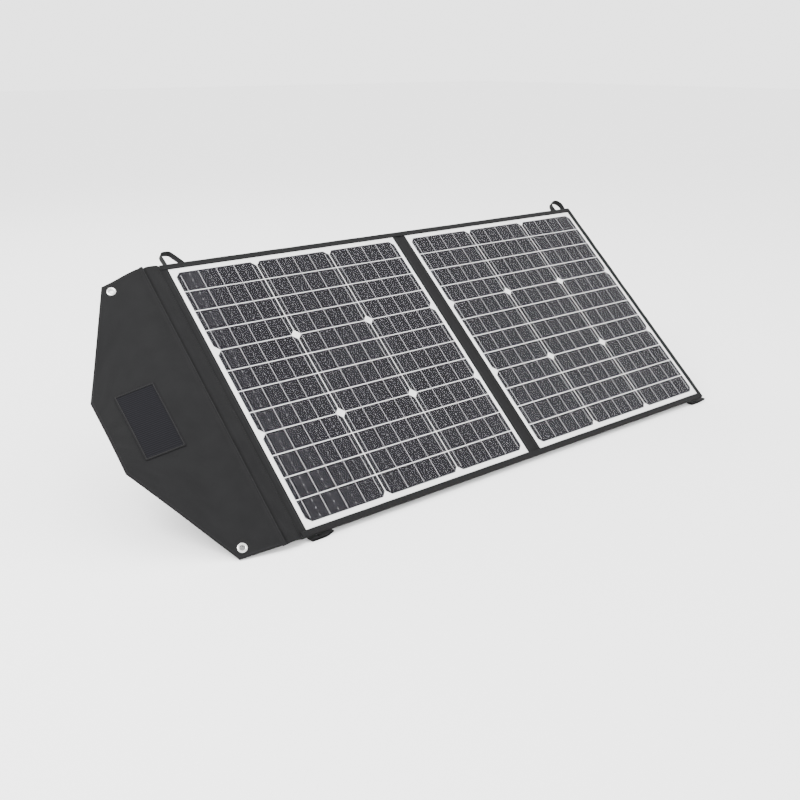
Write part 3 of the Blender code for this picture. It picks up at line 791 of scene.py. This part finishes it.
def buildGusset():
    # fabric from the laminate's edge over the inner fold to the outer fold
    level = gussetSizes["frontLevel"]
    creaseReach = gussetSizes["creaseReach"]
    start = films["left"][0].x - 0.0004
    end = outerFold.x + gussetSizes["overlap"]

    def place(across, along, layer):
        x = mix(start, end, across)
        half = mix(filmHalf + 0.0003, edgeHalf, ease(leftEdge - x, 0.0001, 0.0012))
        y = mix(-half, half, along)
        past = ease(innerFold.x - x, -0.0020, 0.0030)
        crease = gussetSizes["crease"] * max(0.0, 1 - abs(x - innerFold.x) / creaseReach) ** 1.5
        inGusset = min(1, max(0, (innerFold.x - x) / (innerFold.x - end)))
        puff = gussetSizes["puff"] * sin(pi * inGusset)
        even, low = gussetSizes["wrinkles"]
        depth = even + low * ease(-y, -0.02, edgeHalf)
        wrinkle = depth * ripple(x * 2.1 + 0.45 * y, y * 0.7, 0.036, 4.0) * past
        groove = gussetSizes["groove"] * (1 - ease(x - end, *gussetSizes["grooveReach"]))
        thickness = mix(gussetSizes["thin"], gussetSizes["thick"], past)
        return panel.put(x, y, level + puff - crease + wrinkle - groove - (1 - layer) * thickness)

    width = start - end
    gusset = clothPiece("spine_gusset_fabric", 56, 170, place, (width, 2 * edgeHalf), 0.0003)
    finish(gusset, None, "fabric", ["spine_front_fabric", "spine_rear_fabric", "spine_inner_seam"])
    panel.put(innerFold.x + 0.0022, 0, innerFold.z)
    panel.put(innerFold.x - 0.0022, 0, innerFold.z)
    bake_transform(gusset)
    near = start - creaseReach
    half = filmHalf - 0.003
    sew("spine_inner_stitches", "left_panel", [seamLine(panel, (near, -half, level), (near, half, level))])


buildGusset()

flapBoxLow, flapBoxHigh = flap.span("flap_rear_fabric")
flapCorners = [flap.find(vertex.co) for vertex in nodes["flap_rear_fabric"].data.vertices]
patchLow, patchHigh = flap.span("flap_hook_patch")
flapSizes = {
    "root": -0.0036,                              # where it starts, on the gusset side of the fold
    "rootHalf": edgeHalf,
    "tip": -flapBoxLow.x,
    "tipHalf": max(corner.y for corner in flapCorners if corner.x < flapBoxLow.x + 0.0005),
    "thickness": flapBoxHigh.z - flapBoxLow.z + 0.0018,
    "sag": 0.165,                                 # extra droop at the upper corner, rise over reach
    "curl": 1.1,
    "curlStart": 0.110,
    "waves": 0.0011,
    "fineWaves": 0.00035,
    "hem": 0.0042,
    "hemSwell": 0.0003,
    "ridge": 0.0020,                              # how far its root stands above the gusset
    "seam": 0.0036,
    "slantSeam": 1.9,                             # the same on the slanting edges, as a multiple
}
shoulderPoints = [corner for corner in flapCorners if corner.y > 0.9 * edgeHalf and corner.x < -0.02]
shoulder = min(shoulderPoints, key=lambda corner: corner.x)
flapSizes["shoulder"] = -shoulder.x
flapSizes["shoulderHalf"] = shoulder.y


def flapHalf(x):
    # half height of the flap at a distance from the fold
    reach = -x
    if reach <= 0:
        return flapSizes["rootHalf"]
    if reach <= flapSizes["shoulder"]:
        return mix(flapSizes["rootHalf"], flapSizes["shoulderHalf"], reach / flapSizes["shoulder"])
    return mix(flapSizes["shoulderHalf"], flapSizes["tipHalf"],
               (reach - flapSizes["shoulder"]) / (flapSizes["tip"] - flapSizes["shoulder"]))


def flapLevel(x, y):
    # middle of the flap's thickness: it droops more towards its upper corner and its tip
    reach = max(0.0, -x)
    lift = ease(y, -0.06, 0.16)
    sag = -flapSizes["sag"] * lift * reach * ease(reach, 0.0, 0.05)
    curl = -flapSizes["curl"] * max(0.0, reach - flapSizes["curlStart"]) ** 2
    waves = flapSizes["waves"] * ripple(x, y, 0.085, 7.0) * ease(reach, 0.0, 0.03)
    fine = flapSizes["fineWaves"] * ripple(x, y, 0.022, 11.0) * ease(reach, 0.0, 0.02)
    return sag + curl + waves + fine


def flapPoint(x, y, height=0.0):
    step = 0.001
    level = flapLevel(x, y)
    leanX = (flapLevel(x + step, y) - flapLevel(x - step, y)) / (2 * step)
    leanY = (flapLevel(x, y + step) - flapLevel(x, y - step)) / (2 * step)
    out = Vector((-leanX, -leanY, 1)).normalized()
    return flap.put(x + out.x * height, y + out.y * height, level + out.z * height)


def flapNormal(x, y):
    return (flapPoint(x, y, 0.01) - flapPoint(x, y, 0)).normalized()


def flapRow(share):
    # columns of the flap's grid, with one exactly on the shoulder
    if share <= 0.45:
        return -mix(flapSizes["root"], flapSizes["shoulder"], share / 0.45)
    return -mix(flapSizes["shoulder"], flapSizes["tip"], (share - 0.45) / 0.55)


eyeletSizes = {"rim": 0.0012, "steps": 48, "bore": 0.5, "slack": 0.0002}


def eyeletSeat(label):
    # where an eyelet sits on the drooping flap, and its outer radius
    low, high = flap.span(f"{label}_eyelet_ring")
    middle = (low + high) / 2
    seat = Plane(flapPoint(middle.x, middle.y), flap.along, flap.up)
    seat.out = flapNormal(middle.x, middle.y)
    seat.along = flap.up.cross(seat.out).normalized()
    seat.up = seat.out.cross(seat.along).normalized()
    return seat, (high.x - low.x) / 2


def buildFlap():
    hem, thickness = flapSizes["hem"], flapSizes["thickness"]

    def place(across, along, layer):
        x = flapRow(across)
        y = mix(-1, 1, along) * flapHalf(x)
        edge = min(flapHalf(x) - abs(y), (x + flapSizes["tip"]) * 1.2)
        swell = flapSizes["hemSwell"] * (1 - ease(abs(edge - 0.4 * hem), 0, 0.6 * hem))
        height = (layer - 0.5) * (thickness + 2 * swell)
        if x > -0.001:
            height += flapSizes["ridge"] * (1.0 if layer else 0.3)
            return panel.put(outerFold.x + x, y, outerFold.z + height + 0.0002)
        return flapPoint(x, y, height)

    size = (flapSizes["tip"] - flapSizes["root"], 2 * flapSizes["rootHalf"])
    cover = clothPiece("closing_flap_fabric", 80, 200, place, size, 0.0006)
    for label in ("upper", "lower"):
        seat, outer = eyeletSeat(label)
        bore = eyeletSizes["bore"] * outer + eyeletSizes["slack"]
        deselectAll()
        bpy.ops.mesh.primitive_cylinder_add(vertices=40, radius=bore, depth=0.03)
        punch = placeIn(takeActive("punch"), seat)
        cut = cover.modifiers.new("Punched hole", "BOOLEAN")
        cut.object = punch
        cut.solver = "EXACT"
        applyModifiers(cover)
        bpy.data.objects.remove(punch, do_unlink=True)
    finish(cover, None, "fabric", ["flap_front_fabric", "flap_rear_fabric", "spine_outer_seam"])
    panel.put(outerFold.x + 0.0016, 0, outerFold.z)
    flap.put(-0.0022, 0, 0)
    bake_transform(cover)
    return size


def buildFlapBoard(size):
    # stiffener that follows the flap's curve
    low, high = flap.span("flap_board")
    corners = [flap.find(vertex.co) for vertex in nodes["flap_board"].data.vertices]
    tipHalf = max(corner.y for corner in corners if corner.x < low.x + 0.0005)
    turn = min((corner for corner in corners if corner.y > 0.85 * high.y), key=lambda corner: corner.x)

    def place(across, along, layer):
        if across < 0.4:
            x, half = mix(high.x, turn.x, across / 0.4), high.y
        else:
            share = (across - 0.4) / 0.6
            x, half = mix(turn.x, low.x, share), mix(turn.y, tipHalf, share)
        return flapPoint(x, mix(-half, half, along), (layer - 0.5) * (high.z - low.z))

    board = clothPiece("flap_stiffener", 40, 60, place, size, 0.0)
    finish(board, "closing_flap", "board", ["flap_board"])


def sewFlap():
    inset = flapSizes["seam"]
    slantInset = inset * flapSizes["slantSeam"]
    face = flapSizes["thickness"] / 2 + 0.0002
    lines = []
    for sign in (1, -1):
        outline = []
        for step in range(81):
            x = -mix(0.006, flapSizes["tip"] - inset, step / 80)
            edge = inset if -x < flapSizes["shoulder"] else slantInset
            outline.append(flapPoint(x, sign * (flapHalf(x) - edge), face))
        lines.append((outline, flap.out))
    tip = -flapSizes["tip"] + inset
    tipHalf = flapHalf(tip) - slantInset
    lines.append(([flapPoint(tip, mix(-tipHalf, tipHalf, step / 30), face) for step in range(31)],
                  flap.out))
    sew("flap_edge_stitches", "closing_flap", lines)
    half = edgeHalf - 0.004
    level = outerFold.z + flapSizes["thickness"] / 2 + 0.0024
    fold = [panel.put(outerFold.x + 0.0020, mix(-half, half, step / 60), level) for step in range(61)]
    sew("flap_fold_stitches", "spine", [(fold, panel.out)])


buildFlapBoard(buildFlap())
sewFlap()
print("gusset and flap made")

patchSizes = {
    "border": 0.0032,            # width of the plain edge round the hooks
    "lip": 0.0006,
    "overhang": 0.0005,
    "seam": 0.0016,
    "sunk": 0.0003,
    "thickness": patchHigh.z - patchLow.z,
}


def buildPatch():
    # hook tape sewn to the flap, with a plain raised edge round the ribbed field
    base = flapSizes["thickness"] / 2
    thickness, border = patchSizes["thickness"], patchSizes["border"]
    width, height = patchHigh.x - patchLow.x, patchHigh.y - patchLow.y

    def field(across, along, layer):
        x = mix(patchLow.x, patchHigh.x, across)
        y = mix(patchLow.y, patchHigh.y, along)
        return flapPoint(x, y, base - patchSizes["sunk"] + layer * (patchSizes["sunk"] + thickness * 0.75))

    patch = clothPiece("flap_hook_tape", 30, 56, field, (width, height), 0.0003)
    finish(patch, "closing_flap", "hooks", ["flap_hook_patch"])

    sides = {"left": ((0, 0), (0, 1)), "right": ((1, 1), (1, 0)), "top": ((0, 1), (1, 1)),
             "bottom": ((1, 0), (0, 0))}
    for label, (start, end) in sides.items():
        inward = Vector((end[1] - start[1], start[0] - end[0]))

        def selvage(across, along, layer):
            reach = inward * (across * border - patchSizes["overhang"])
            x = mix(patchLow.x, patchHigh.x, mix(start[0], end[0], along)) + reach.x
            y = mix(patchLow.y, patchHigh.y, mix(start[1], end[1], along)) + reach.y
            rise = patchSizes["lip"] * sin(pi * mix(0.12, 0.88, across))
            return flapPoint(x, y, base + layer * (thickness + rise))

        run = height if start[0] == end[0] else width
        finish(clothPiece(f"flap_hook_tape_{label}_selvage", 6, 40, selvage, (border, run), 0.0003),
               "closing_flap", "tape")

    inset = patchSizes["seam"]
    x0, x1 = patchLow.x + inset, patchHigh.x - inset
    y0, y1 = patchLow.y + inset, patchHigh.y - inset
    level = base + thickness + patchSizes["lip"] * 0.9
    corners = [(x0, y0), (x0, y1), (x1, y1), (x1, y0)]
    lines = [([flapPoint(mix(ax, bx, step / 20), mix(ay, by, step / 20), level) for step in range(21)],
              flap.out) for (ax, ay), (bx, by) in zip(corners, corners[1:] + corners[:1])]
    sew("flap_hook_tape_stitches", "closing_flap", lines, 0.0030, 0.0022)


buildPatch()


def buildEyelet(label):
    # flanged barrel turned from one profile, with its washer behind the flap
    seat, outer = eyeletSeat(label)
    bore = eyeletSizes["bore"] * outer
    half = flapSizes["thickness"] / 2
    rim = eyeletSizes["rim"]
    ring = [
        (outer, half - 0.0003), (outer - 0.0002, half + 0.35 * rim), (outer - 0.0010, half + 0.85 * rim),
        (outer - 0.0020, half + rim), (bore + 0.0012, half + 0.95 * rim),
        (bore + 0.0004, half + 0.6 * rim), (bore, half), (bore, -half - 1.7 * rim),
        (bore + 0.0004, -half - 2 * rim), (bore + 0.0012, -half - 1.8 * rim),
        (outer - 0.0018, -half - 0.8 * rim), (outer - 0.0006, -half - 0.4 * rim), (outer - 0.0004, -half),
    ]
    deselectAll()
    bpy.ops.mesh.primitive_torus_add(major_segments=eyeletSizes["steps"], minor_segments=len(ring),
                                     major_radius=outer, minor_radius=outer - bore)
    obj = takeActive(f"{label}_eyelet")
    for vertex in obj.data.vertices:
        turn, step = divmod(vertex.index, len(ring))
        angle = 2 * pi * turn / eyeletSizes["steps"]
        radius, height = ring[step]
        vertex.co = (radius * cos(angle), radius * sin(angle), height)
    faceOutwards()
    placeIn(obj, seat)
    finish(obj, "closing_flap", "metal", [f"{label}_eyelet_ring", f"{label}_eyelet_washer"], 55)


for label in ("upper", "lower"):
    buildEyelet(label)
print("hook tape and eyelets made")

loopSizes = {
    "width": 0.0118,
    "thickness": 0.0012,
    # the standing loops: distance along the edge from the loop's middle, and height above the edge
    "left": [(-0.0165, -0.0030), (-0.0172, 0.0080), (-0.0180, 0.0190), (-0.0152, 0.0243),
             (-0.0090, 0.0252), (-0.0010, 0.0243), (0.0032, 0.0200), (0.0100, 0.0095),
             (0.0150, 0.0010), (0.0165, -0.0030)],
    "right": [(-0.0150, -0.0030), (-0.0160, 0.004), (-0.0150, 0.0130), (-0.0085, 0.0218),
              (0.0015, 0.0250), (0.0105, 0.0228), (0.0165, 0.0155), (0.0172, 0.0070),
              (0.0150, -0.0030)],
    # the loops under the edge: share of the half length, share of the height, and slack
    "pressed": [(-0.30, 1.0, 0), (0.20, 1.0, 0), (0.62, 0.92, 0), (0.92, 0.75, 0), (1.0, 0.4, 0),
                (0.88, 0.0, 0), (0.30, 0.0, 0.0002), (-0.30, 0.0, 0), (-0.86, 0.0, 0), (-1.0, 0.5, 0),
                (-0.86, 0.95, 0), (-0.35, 1.0, -0.0002)],
}


def topLoop(side):
    low, high = panel.span(f"{side}_top_loop")
    middle, depth = (low.x + high.x) / 2, (low.z + high.z) / 2
    run = smoothed([(x, y, 0) for x, y in loopSizes[side]], 7)
    path = Path([panel.put(middle + point.x, edgeHalf + point.y, depth) for point in run])
    tape = tapePiece(f"{side}_top_webbing_loop", path, panel.out, loopSizes["width"],
                     loopSizes["thickness"], rows=64)
    finish(tape, f"{side}_panel", "webbing", [f"{side}_top_loop"])


topLoop("left")
topLoop("right")


def bottomLoop(side, shift, tip, bow):
    # pressed flat by the panel's weight; tip is how far its free end reaches along the edge
    low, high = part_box(f"{side}_bottom_loop")
    middle = (low + high) / 2
    middle.x += shift
    lift = loopSizes["thickness"] / 2
    reach = (high.x - low.x) / 2 - abs(shift) * 0.5
    top = high.z - lift
    run = []
    for share, rise, slack in loopSizes["pressed"]:
        height = mix(lift, top, rise) + slack
        x = middle.x + share * reach + tip * ease(share, 0.3, 0.9)
        sway = bow * (0.55 - abs(share + 0.35)) + 0.25 * bow * sin(5 * share + 200 * height)
        run.append((x, middle.y - sway, height))
    tape = tapePiece(f"{side}_bottom_webbing_loop", Path(smoothed(run, 8)), Vector((0, 1, 0)),
                     high.y - low.y, loopSizes["thickness"], rows=90)
    finish(tape, f"{side}_panel", "webbing", [f"{side}_bottom_loop"])
    if tip:
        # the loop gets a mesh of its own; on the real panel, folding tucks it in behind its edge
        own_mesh(tape)


bottomLoop("left", -0.002, 0.0, 0.0050)
bottomLoop("right", 0.006, 0.010, 0.0030)
print("webbing loops made")


coverSizes = {
    "thickness": 0.0008,
    "lift": 0.0004,              # its middle above the CAD cover's back
    "waves": 0.0005,
    "slack": 0.003,              # past the laminate at the top and bottom
    "bend": 0.010,               # length of the wrapped edge that gets a fifth of the columns
    "bendShare": 0.2,
}


def buildRearCover(side):
    # back fabric of a module, wrapped up round the board's edge on the left
    low, high = panel.span(f"{side}_rear_cover")
    half = filmHalf + coverSizes["slack"]
    level = coverBack + coverSizes["lift"]
    if side == "left":
        edge = low.x - 0.0003
        path = Path([(edge, -0.0030, 0), (edge, level + 0.0014, 0), (edge + 0.0006, level + 0.0003, 0),
                     (edge + 0.0019, level, 0), (high.x, level, 0)])
    else:
        path = Path([(low.x, level, 0), (high.x, level, 0)])
    length = path.lengths[-1]

    def place(across, along, layer):
        bend, bendShare = coverSizes["bend"], coverSizes["bendShare"]
        if side == "right":
            reach = across * length
        elif across < bendShare:
            reach = bend * across / bendShare
        else:
            reach = mix(bend, length, (across - bendShare) / (1 - bendShare))
        point, heading = path.at(reach / length), path.heading(reach / length)
        face = Vector((heading.y, -heading.x, 0))
        y = mix(-half, half, along)
        flatness = ease(min(reach, length - reach), 0.004, 0.05)
        wave = coverSizes["waves"] * (ripple(point.x, y, 0.07, 6.0) - 0.4) * flatness
        point = point + face * ((layer - 0.5) * coverSizes["thickness"] + wave)
        return panel.put(point.x, y, point.y)

    size = (length, 2 * half)
    cover = clothPiece(f"{side}_rear_fabric", 110, 120, place, size, 0.0002)
    finish(cover, f"{side}_panel", "fabric", [f"{side}_rear_cover"])


for side in ("left", "right"):
    buildRearCover(side)
print("rear covers made")

standSizes = {
    "edgeWall": 0.0009,
    "edgeReach": (0.0085, 0.0085),
    "sideSeam": 0.0065,          # from the leg's side to its stitches
    "footSeams": (0.0125, 0.0155),
    "hingeSeams": (0.003, 0.0085),
    "hingeThickness": 0.0009,
    "stayThickness": 0.0013,
    "tab": 0.022,                # sewn length at each end of the stay
}


def legPlane(side):
    # the leg's own axes: x along its hinge, y up from the foot to the hinge
    hinge = Vector(joints[f"{side}_leg_fold"]["pos_m"])
    footLow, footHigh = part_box(f"{side}_kickstand_foot")
    toFoot = (footLow + footHigh) / 2 - hinge
    toFoot.x = 0
    return Plane(hinge, (1, 0, 0), -toFoot)


def buildLeg(side, leg):
    low, high = leg.span(f"{side}_kickstand_leg")
    half = high.x

    def board(across, along, layer):
        x = mix(-half, half, across)
        y = mix(low.y, high.y, along)
        puff = 0.0003 * ease(half - abs(x), 0.0, 0.012) + 0.0002 * ripple(x, y, 0.04, 3.0)
        return leg.put(x, y, mix(low.z + 0.0005 - puff, high.z - 0.0005 + puff, layer))

    cover = clothPiece(f"{side}_leg_panel", 40, 66, board, (2 * half, high.y - low.y), 0.0008)
    finish(cover, f"{side}_leg", "fabric", [f"{side}_kickstand_leg"])
    for sign, label in ((-1, "inner"), (1, "outer")):
        tape = edgeTape(f"{side}_leg_{label}_edge_tape", leg, sign * (half + 0.0006),
                        (low.y + 0.001, high.y - 0.002), high.z + 0.0005, low.z - 0.0005,
                        standSizes["edgeWall"], standSizes["edgeReach"], 0.0002, 5.0 + sign, upright=True)
        finish(tape, f"{side}_leg", "tape")
    x = half - standSizes["sideSeam"]
    lines = [seamLine(leg, (x, low.y + 0.004, z), (x, high.y - 0.004, z))
             for x in (-x, x) for z in (high.z + 0.0006, low.z - 0.0006)]
    lines += [seamLine(leg, (-half + 0.01, low.y + y, z), (half - 0.01, low.y + y, z))
              for y in standSizes["footSeams"] for z in (high.z - 0.0001, low.z + 0.0001)]
    sew(f"{side}_leg_stitches", f"{side}_leg", lines)


def buildLegHinge(side, leg):
    # tape sewn to the panel above the fold line and to the leg's back below it
    low, high = leg.span(f"{side}_kickstand_leg")
    half = high.x
    top = panel.span(f"{side}_kickstand_hinge_tape")[1].y
    axis = panel.find(leg.origin)
    face = coverBack - 0.0007
    below = [leg.put(0, -reach, low.z - 0.0009) for reach in (0.0035, 0.008, 0.014, 0.021)]
    knee = panel.put(0, axis.y - 0.0005, axis.z) + (below[0] - panel.put(0, axis.y, axis.z)) * 0.75
    points = [panel.put(0, top, face), panel.put(0, axis.y + 0.012, face),
              panel.put(0, axis.y + 0.0052, face - 0.0004), knee, *below]
    boxLow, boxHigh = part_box(f"{side}_kickstand_leg")
    for point in points:
        point.x = (boxLow.x + boxHigh.x) / 2
    tape = tapePiece(f"{side}_leg_hinge_webbing", Path(smoothed(points, 6)), Vector((1, 0, 0)),
                     2 * half - 0.002, standSizes["hingeThickness"], rows=44, columns=24)
    finish(tape, None, "webbing", [f"{side}_kickstand_hinge_tape"])
    panel.put(axis.x, axis.y + 0.0035, axis.z)
    leg.put(0, -0.0035, 0)
    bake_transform(tape)
    start, end = axis.x - half + 0.006, axis.x + half - 0.006
    rows = [seamLine(panel, (start, top - inset, face - 0.0005), (end, top - inset, face - 0.0005))
            for inset in standSizes["hingeSeams"]]
    sew(f"{side}_leg_hinge_stitches", f"{side}_panel", rows)


def buildStay(side, leg):
    # webbing from the panel to the leg's inner face, sewn flat at both ends
    name = f"{side}_kickstand_stay"
    points = [vertex.co.copy() for vertex in nodes[name].data.vertices]
    low, high = leg.span(f"{side}_kickstand_leg")
    stayLow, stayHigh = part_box(name)
    inPanel = [panel.find(point) for point in points]
    anchor = min(point.y for point in inPanel)
    levels = [point.z for point in inPanel if point.y < anchor + 0.001]
    tabLevel = sum(levels) / len(levels)
    inLeg = [leg.find(point) for point in points]
    end = min(point.y for point in inLeg if abs(point.z - high.z) < 0.004 and point.y > low.y)
    face = high.z + 0.0011
    tab = standSizes["tab"]
    x = panel.find(leg.origin).x
    sewn = [panel.put(x, anchor, tabLevel), panel.put(x, anchor + tab * 0.7, tabLevel),
            panel.put(x, anchor + tab, tabLevel - 0.0004)]
    onLeg = [leg.put(0, end + tab, face + 0.0004), leg.put(0, end + tab * 0.7, face), leg.put(0, end, face)]
    path = Path(smoothed(sewn, 4) + smoothed(onLeg, 4))
    stay = tapePiece(f"{side}_stay_webbing", path, Vector((1, 0, 0)), stayHigh.x - stayLow.x,
                     standSizes["stayThickness"], rows=60, columns=6)
    finish(stay, f"{side}_panel", "webbing", [name])
    tuple(panel.out)
    tuple(panel.put(0, 0, tabLevel))
    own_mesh(stay)


for side in ("left", "right"):
    plane = legPlane(side)
    buildLeg(side, plane)
    buildLegHinge(side, plane)
    buildStay(side, plane)
print("kickstands made")

boxSizes = {
    "radius": 0.0022,
    "lidInset": 0.0060,
    "lidStep": 0.0007,
    "lidRound": 0.0005,
    "screw": 0.0023,
    "screwHead": 0.0012,
    "screwInset": 0.0045,
    "barrel": 0.86,              # the gland's barrel as a share of its nut
    "nut": 0.0046,
}


def buildJunctionBox(side):
    low, high = panel.span(f"{side}_junction_box")
    body = roundedBox(f"{side}_terminal_box", panel, low, high, boxSizes["radius"])
    finish(body, f"{side}_panel", "plastic", [f"{side}_junction_box"])

    low, high = panel.span(f"{side}_junction_box_lid")
    deselectAll()
    bpy.ops.mesh.primitive_cube_add(size=1, location=(low + high) / 2)
    lid = takeActive(f"{side}_terminal_box_lid")
    lid.scale = high - low
    bpy.ops.object.transform_apply(location=True, rotation=False, scale=True)
    bpy.ops.object.mode_set(mode="EDIT")
    bpy.ops.mesh.select_mode(type="FACE")
    bpy.ops.mesh.select_all(action="DESELECT")
    bpy.ops.object.mode_set(mode="OBJECT")
    for face in lid.data.polygons:
        face.select = face.normal.z < -0.5
    bpy.ops.object.mode_set(mode="EDIT")
    bpy.ops.mesh.inset(thickness=boxSizes["lidInset"], depth=0)
    bpy.ops.transform.translate(value=(0, 0, boxSizes["lidStep"]))
    bpy.ops.object.mode_set(mode="OBJECT")
    bevelEdges(boxSizes["lidRound"], 2)
    finish(placeIn(lid, panel), f"{side}_panel", "plastic", [f"{side}_junction_box_lid"])

    # one screw is modelled and copied to the four corners
    inset = boxSizes["screwInset"]
    deselectAll()
    bpy.ops.mesh.primitive_cylinder_add(vertices=20, radius=boxSizes["screw"], depth=boxSizes["screwHead"])
    first = takeActive("screw")
    bevelEdges(0.0004, 2)
    screws = [copied(first, (x, y, low.z - 0.0002)) for x in (low.x + inset, high.x - inset)
              for y in (low.y + inset, high.y - inset)]
    bpy.data.objects.remove(first, do_unlink=True)
    heads = joined(screws, f"{side}_terminal_box_screws")
    finish(placeIn(heads, panel), f"{side}_panel", "metal")


def buildGland(side):
    # blind cable gland: a round barrel with a six-sided nut
    low, high = panel.span(f"{side}_cable_gland")
    middle = (low + high) / 2
    radius = (high.x - low.x) / 2
    parts = []
    for vertices, share, depth, y, soft in ((36, boxSizes["barrel"], high.y - low.y, middle.y, (0.0009, 3)),
                                            (6, 1.0, boxSizes["nut"], high.y - 0.0030, (0.0004, 2))):
        deselectAll()
        bpy.ops.mesh.primitive_cylinder_add(vertices=vertices, radius=radius * share, depth=depth,
                                            location=(middle.x, y, middle.z), rotation=(pi / 2, 0, 0))
        bevelEdges(*soft)
        parts.append(bpy.context.active_object)
    gland = joined(parts, f"{side}_blind_gland")
    finish(placeIn(gland, panel), f"{side}_panel", "plastic", [f"{side}_cable_gland"])


for side in ("left", "right"):
    buildJunctionBox(side)
    buildGland(side)
print("terminal boxes made")

pouchSizes = {
    "softness": 0.0205,          # how far in from its edge it is rounded
    "roundness": 0.62,
    "dent": 0.0013,
    "pull": 0.0034,              # how far its sides pull in between the corners
    "rim": 0.0015,
    "piping": 0.0012,            # radius
    "loopSunk": 0.0012,
    "loopSeam": 0.0025,
}


def cornersOf(low, high, inset):
    return [(low.x + inset, low.y + inset), (high.x - inset, low.y + inset),
            (high.x - inset, high.y - inset), (low.x + inset, high.y - inset)]


def buildPouch():
    low, high = panel.span("accessory_pouch")
    width, height, depth = high - low

    def place(across, along, layer):
        x, y = 2 * across - 1, 2 * along - 1
        edge = min((1 - abs(x)) * width / 2, (1 - abs(y)) * height / 2)
        share = min(1.0, max(0.0, edge / pouchSizes["softness"]))
        rise = (1 - (1 - share) ** 2) ** pouchSizes["roundness"]
        wave = ripple(x * width, y * height, 0.045, 8.0) - 0.2
        wrinkle = pouchSizes["dent"] * wave * ease(edge, 0.004, 0.02)
        pullX = pouchSizes["pull"] * (1 - y * y) * abs(x) ** 5
        pullY = pouchSizes["pull"] * (1 - x * x) * abs(y) ** 5
        thick = pouchSizes["rim"] + (depth - pouchSizes["rim"] - 0.0004) * rise - abs(wrinkle)
        return panel.put(mix(low.x + pullX, high.x - pullX, across),
                         mix(low.y + pullY, high.y - pullY, along), high.z - (thick if layer else 0.0))

    pouch = clothPiece("rear_pouch", 60, 100, place, (width, height), 0.0)
    finish(pouch, "right_panel", "fabric", ["accessory_pouch"], 60)

    radius = pouchSizes["piping"]
    welt = [panel.put(x, y, high.z - radius) for x, y in cornersOf(low, high, radius)]
    curve = bpy.data.curves.new("rear_pouch_piping", "CURVE")
    curve.dimensions = "3D"
    curve.bevel_depth = radius
    curve.bevel_resolution = 3
    spline = curve.splines.new("POLY")
    spline.points.add(len(welt) - 1)
    for point, corner in zip(spline.points, welt):
        point.co = (*corner, 1)
    spline.use_cyclic_u = True
    piping = bpy.data.objects.new("rear_pouch_piping", curve)
    bpy.context.scene.collection.objects.link(piping)
    pickOnly(piping)
    bpy.ops.object.convert(target="MESH")
    finish(piping, "right_panel", "fabricSolid")


def buildLoopTape():
    # the mating patch on the pouch
    low, high = panel.span("pouch_loop_patch")

    def field(across, along, layer):
        x = mix(low.x, high.x, across)
        y = mix(low.y, high.y, along)
        edge = min(x - low.x, high.x - x, y - low.y, high.y - y)
        puff = 0.0003 * (1 - ease(edge, 0.0, 0.004))
        return panel.put(x, y, mix(high.z + pouchSizes["loopSunk"], low.z + 0.0004 - puff, layer))

    patch = clothPiece("pouch_loop_tape", 30, 50, field, (high.x - low.x, high.y - low.y), 0.0004)
    finish(patch, "right_panel", "loops", ["pouch_loop_patch"])
    level = low.z + 0.00015
    corners = cornersOf(low, high, pouchSizes["loopSeam"])
    lines = [seamLine(panel, (*start, level), (*end, level), 0.01)
             for start, end in zip(corners, corners[1:] + corners[:1])]
    sew("pouch_loop_tape_stitches", "right_panel", lines)


buildPouch()
buildLoopTape()
print("pouch made")

studio = {
    "place": (-1.2019, -1.3562, 0.6968),
    "aim": (0.6129, 0.7219, -0.3214),
    "lens": 45.8,
    "world": 2.85,
    "lampAim": (0, 0, 0.15),
    # place, size and power of each lamp
    "lamps": {"key": ((-2.2, -0.4, 2.6), 1.6, 150), "fill": ((2.2, -1.6, 1.6), 2.0, 18),
              "back": ((0.2, 2.2, 2.4), 2.4, 40)},
}


def buildStudio():
    deselectAll()
    bpy.ops.mesh.primitive_plane_add(size=40, location=(0, 0, -0.0003))
    floor = takeActive("studio_floor")
    fixed = {"Roughness": 0.9, "Specular IOR Level": 0.1}
    material, shader, start = newFinish("pale floor", fixed, "Object")
    feed(shader.inputs["Base Color"], start.noise(0.3, 1.0).over((0.92, 0.92, 0.92), (0.93, 0.93, 0.93)))
    floor.data.materials.append(material)

    world = bpy.data.worlds.new("studio")
    bpy.context.scene.world = world
    world.use_nodes = True
    sky = world.node_tree.nodes["Background"]
    sky.inputs["Color"].default_value = (1, 1, 1, 1)
    sky.inputs["Strength"].default_value = studio["world"]

    for name, (place, size, power) in studio["lamps"].items():
        light = bpy.data.lights.new(name, "AREA")
        light.size = size
        light.energy = power
        lamp = bpy.data.objects.new(name, light)
        bpy.context.scene.collection.objects.link(lamp)
        lamp.location = place
        aim = Vector(studio["lampAim"]) - Vector(place)
        lamp.rotation_euler = aim.to_track_quat("-Z", "Y").to_euler()

    camera = bpy.data.objects.new("camera", bpy.data.cameras.new("camera"))
    bpy.context.scene.collection.objects.link(camera)
    camera.location = studio["place"]
    camera.rotation_euler = Vector(studio["aim"]).to_track_quat("-Z", "Y").to_euler()
    camera.data.lens = studio["lens"]
    camera.data.sensor_width = 36
    bpy.context.scene.camera = camera


buildStudio()
print("studio made")
